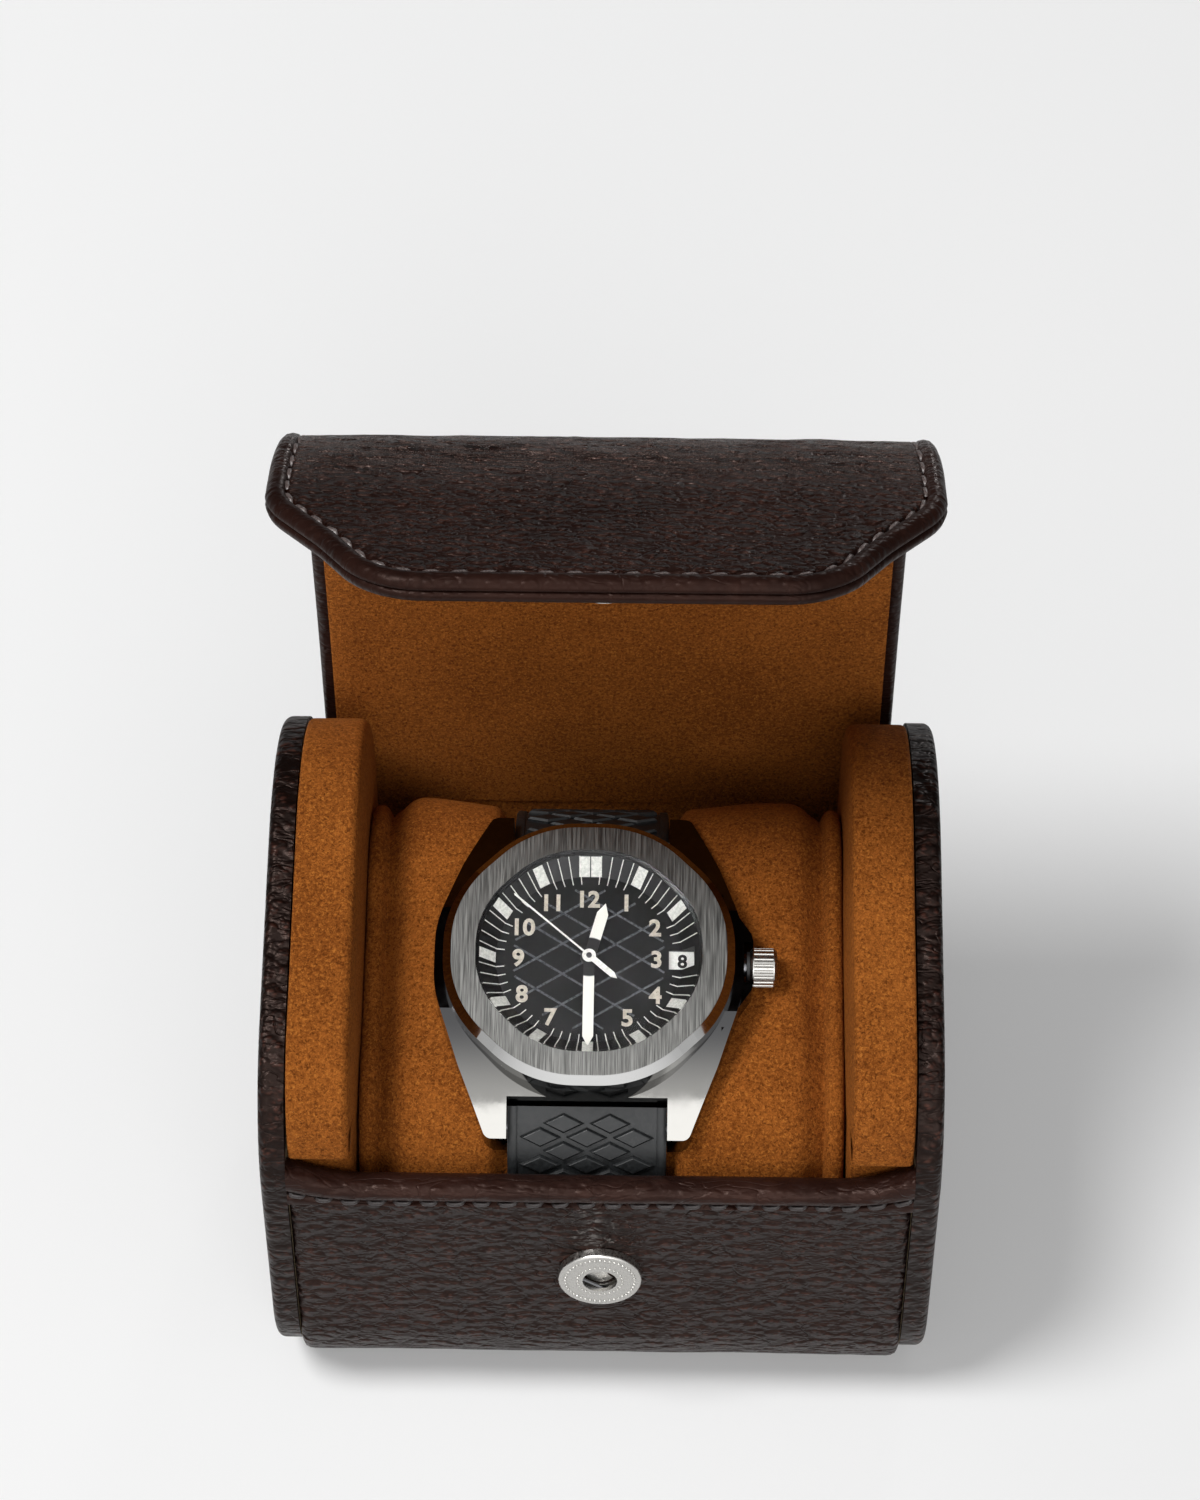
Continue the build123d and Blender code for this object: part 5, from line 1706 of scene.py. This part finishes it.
# %% Floor
deselect()
bpy.ops.mesh.primitive_plane_add(size=6, location=(0, 0, 0))
floor = bpy.context.object
floor.name = "floor"
settle(floor)
PAPER, EVEN_SHARE, EVEN_LIGHT = 0.86, 0.2, 0.9
FAR_PAPER, FAR_FROM, FAR_TO = 0.98, -0.15, 0.35
DARK_FROM, DARK_TO, DARK_SHARE = 0.03, 0.12, 0.5
paper = Finish("pale floor", (PAPER, PAPER, PAPER), roughness=0.9, specular_ior_level=0.1)
rays = paper.node("ShaderNodeLightPath")
seen = paper.math("MAXIMUM", rays.outputs["Is Camera Ray"], rays.outputs["Is Glossy Ray"])
seen = paper.math("MAXIMUM", seen, rays.outputs["Is Transmission Ray"])
even = paper.node("ShaderNodeEmission", Strength=EVEN_LIGHT)
depth = paper.axis(paper.coordinates(), "Y")
far = paper.between(depth, FAR_FROM, FAR_TO)
paper.paint(paper.blend_colour(far, (PAPER,) * 3, (FAR_PAPER,) * 3))
mix = paper.node("ShaderNodeMixShader")
paper.link(paper.math("MULTIPLY", seen, EVEN_SHARE), mix.inputs[0])
paper.link(paper.shader.outputs["BSDF"], mix.inputs[1])
paper.link(even.outputs["Emission"], mix.inputs[2])
behind = paper.between(depth, DARK_FROM, DARK_TO, 0.0, DARK_SHARE)
black = paper.node("ShaderNodeEmission", Color=(0, 0, 0, 1), Strength=1.0)
cover = paper.node("ShaderNodeMixShader")
paper.link(paper.math("MULTIPLY", rays.outputs["Is Glossy Ray"], behind), cover.inputs[0])
paper.link(mix.outputs["Shader"], cover.inputs[1])
paper.link(black.outputs["Emission"], cover.inputs[2])
paper.link(cover.outputs["Shader"], paper.tree.nodes["Material Output"].inputs["Surface"])
floor.data.materials.append(paper.material)
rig.stage(floor)
print("floor", round(floor.dimensions.x, 1), "m wide")

# %% Room
SEEN_ROOM = 0.88      # how bright the room is where the camera sees it past the floor
SOFT_SHARE = 0.32      # how much of the room's light reaches matt surfaces; gloss sees all of it
UPWARD, FORWARD = 0.5, -0.8      # how much a direction's height and its depth brighten the room
BRIGHT_FROM, DIM, BRIGHT = 0.95, 0.03, 1.8
world = bpy.data.worlds.new("studio")
bpy.context.scene.world = world
world.use_nodes = True
room = Nodes(world.node_tree)
sky = room.tree.nodes["Background"]
sky.inputs["Color"].default_value = (1, 1, 1, 1)
way = room.node("ShaderNodeTexCoord").outputs["Generated"]
high = room.math("MULTIPLY", room.axis(way, "Z"), UPWARD)
front = room.math("MULTIPLY_ADD", room.axis(way, "Y"), FORWARD, high)
level = room.between(front, 0.0, BRIGHT_FROM, DIM, BRIGHT)
rays = room.node("ShaderNodeLightPath")
share = room.math("MULTIPLY_ADD", rays.outputs["Is Glossy Ray"], 1 - SOFT_SHARE, SOFT_SHARE)
shown = room.node("ShaderNodeMix")
room.link(rays.outputs["Is Camera Ray"], shown.inputs[0])
room.link(room.math("MULTIPLY", level, share), shown.inputs[2])
shown.inputs[3].default_value = SEEN_ROOM
room.link(shown.outputs[0], sky.inputs["Strength"])
bpy.context.scene.view_settings.view_transform = "Standard"
print("room lit from above and in front")

# %% Finish
size_after = [list(corner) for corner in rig.bounds()]
with open("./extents.json", "w") as file:
    json.dump({"before": size_before, "after": size_after}, file)
print("before", size_before)
print("after", size_after)
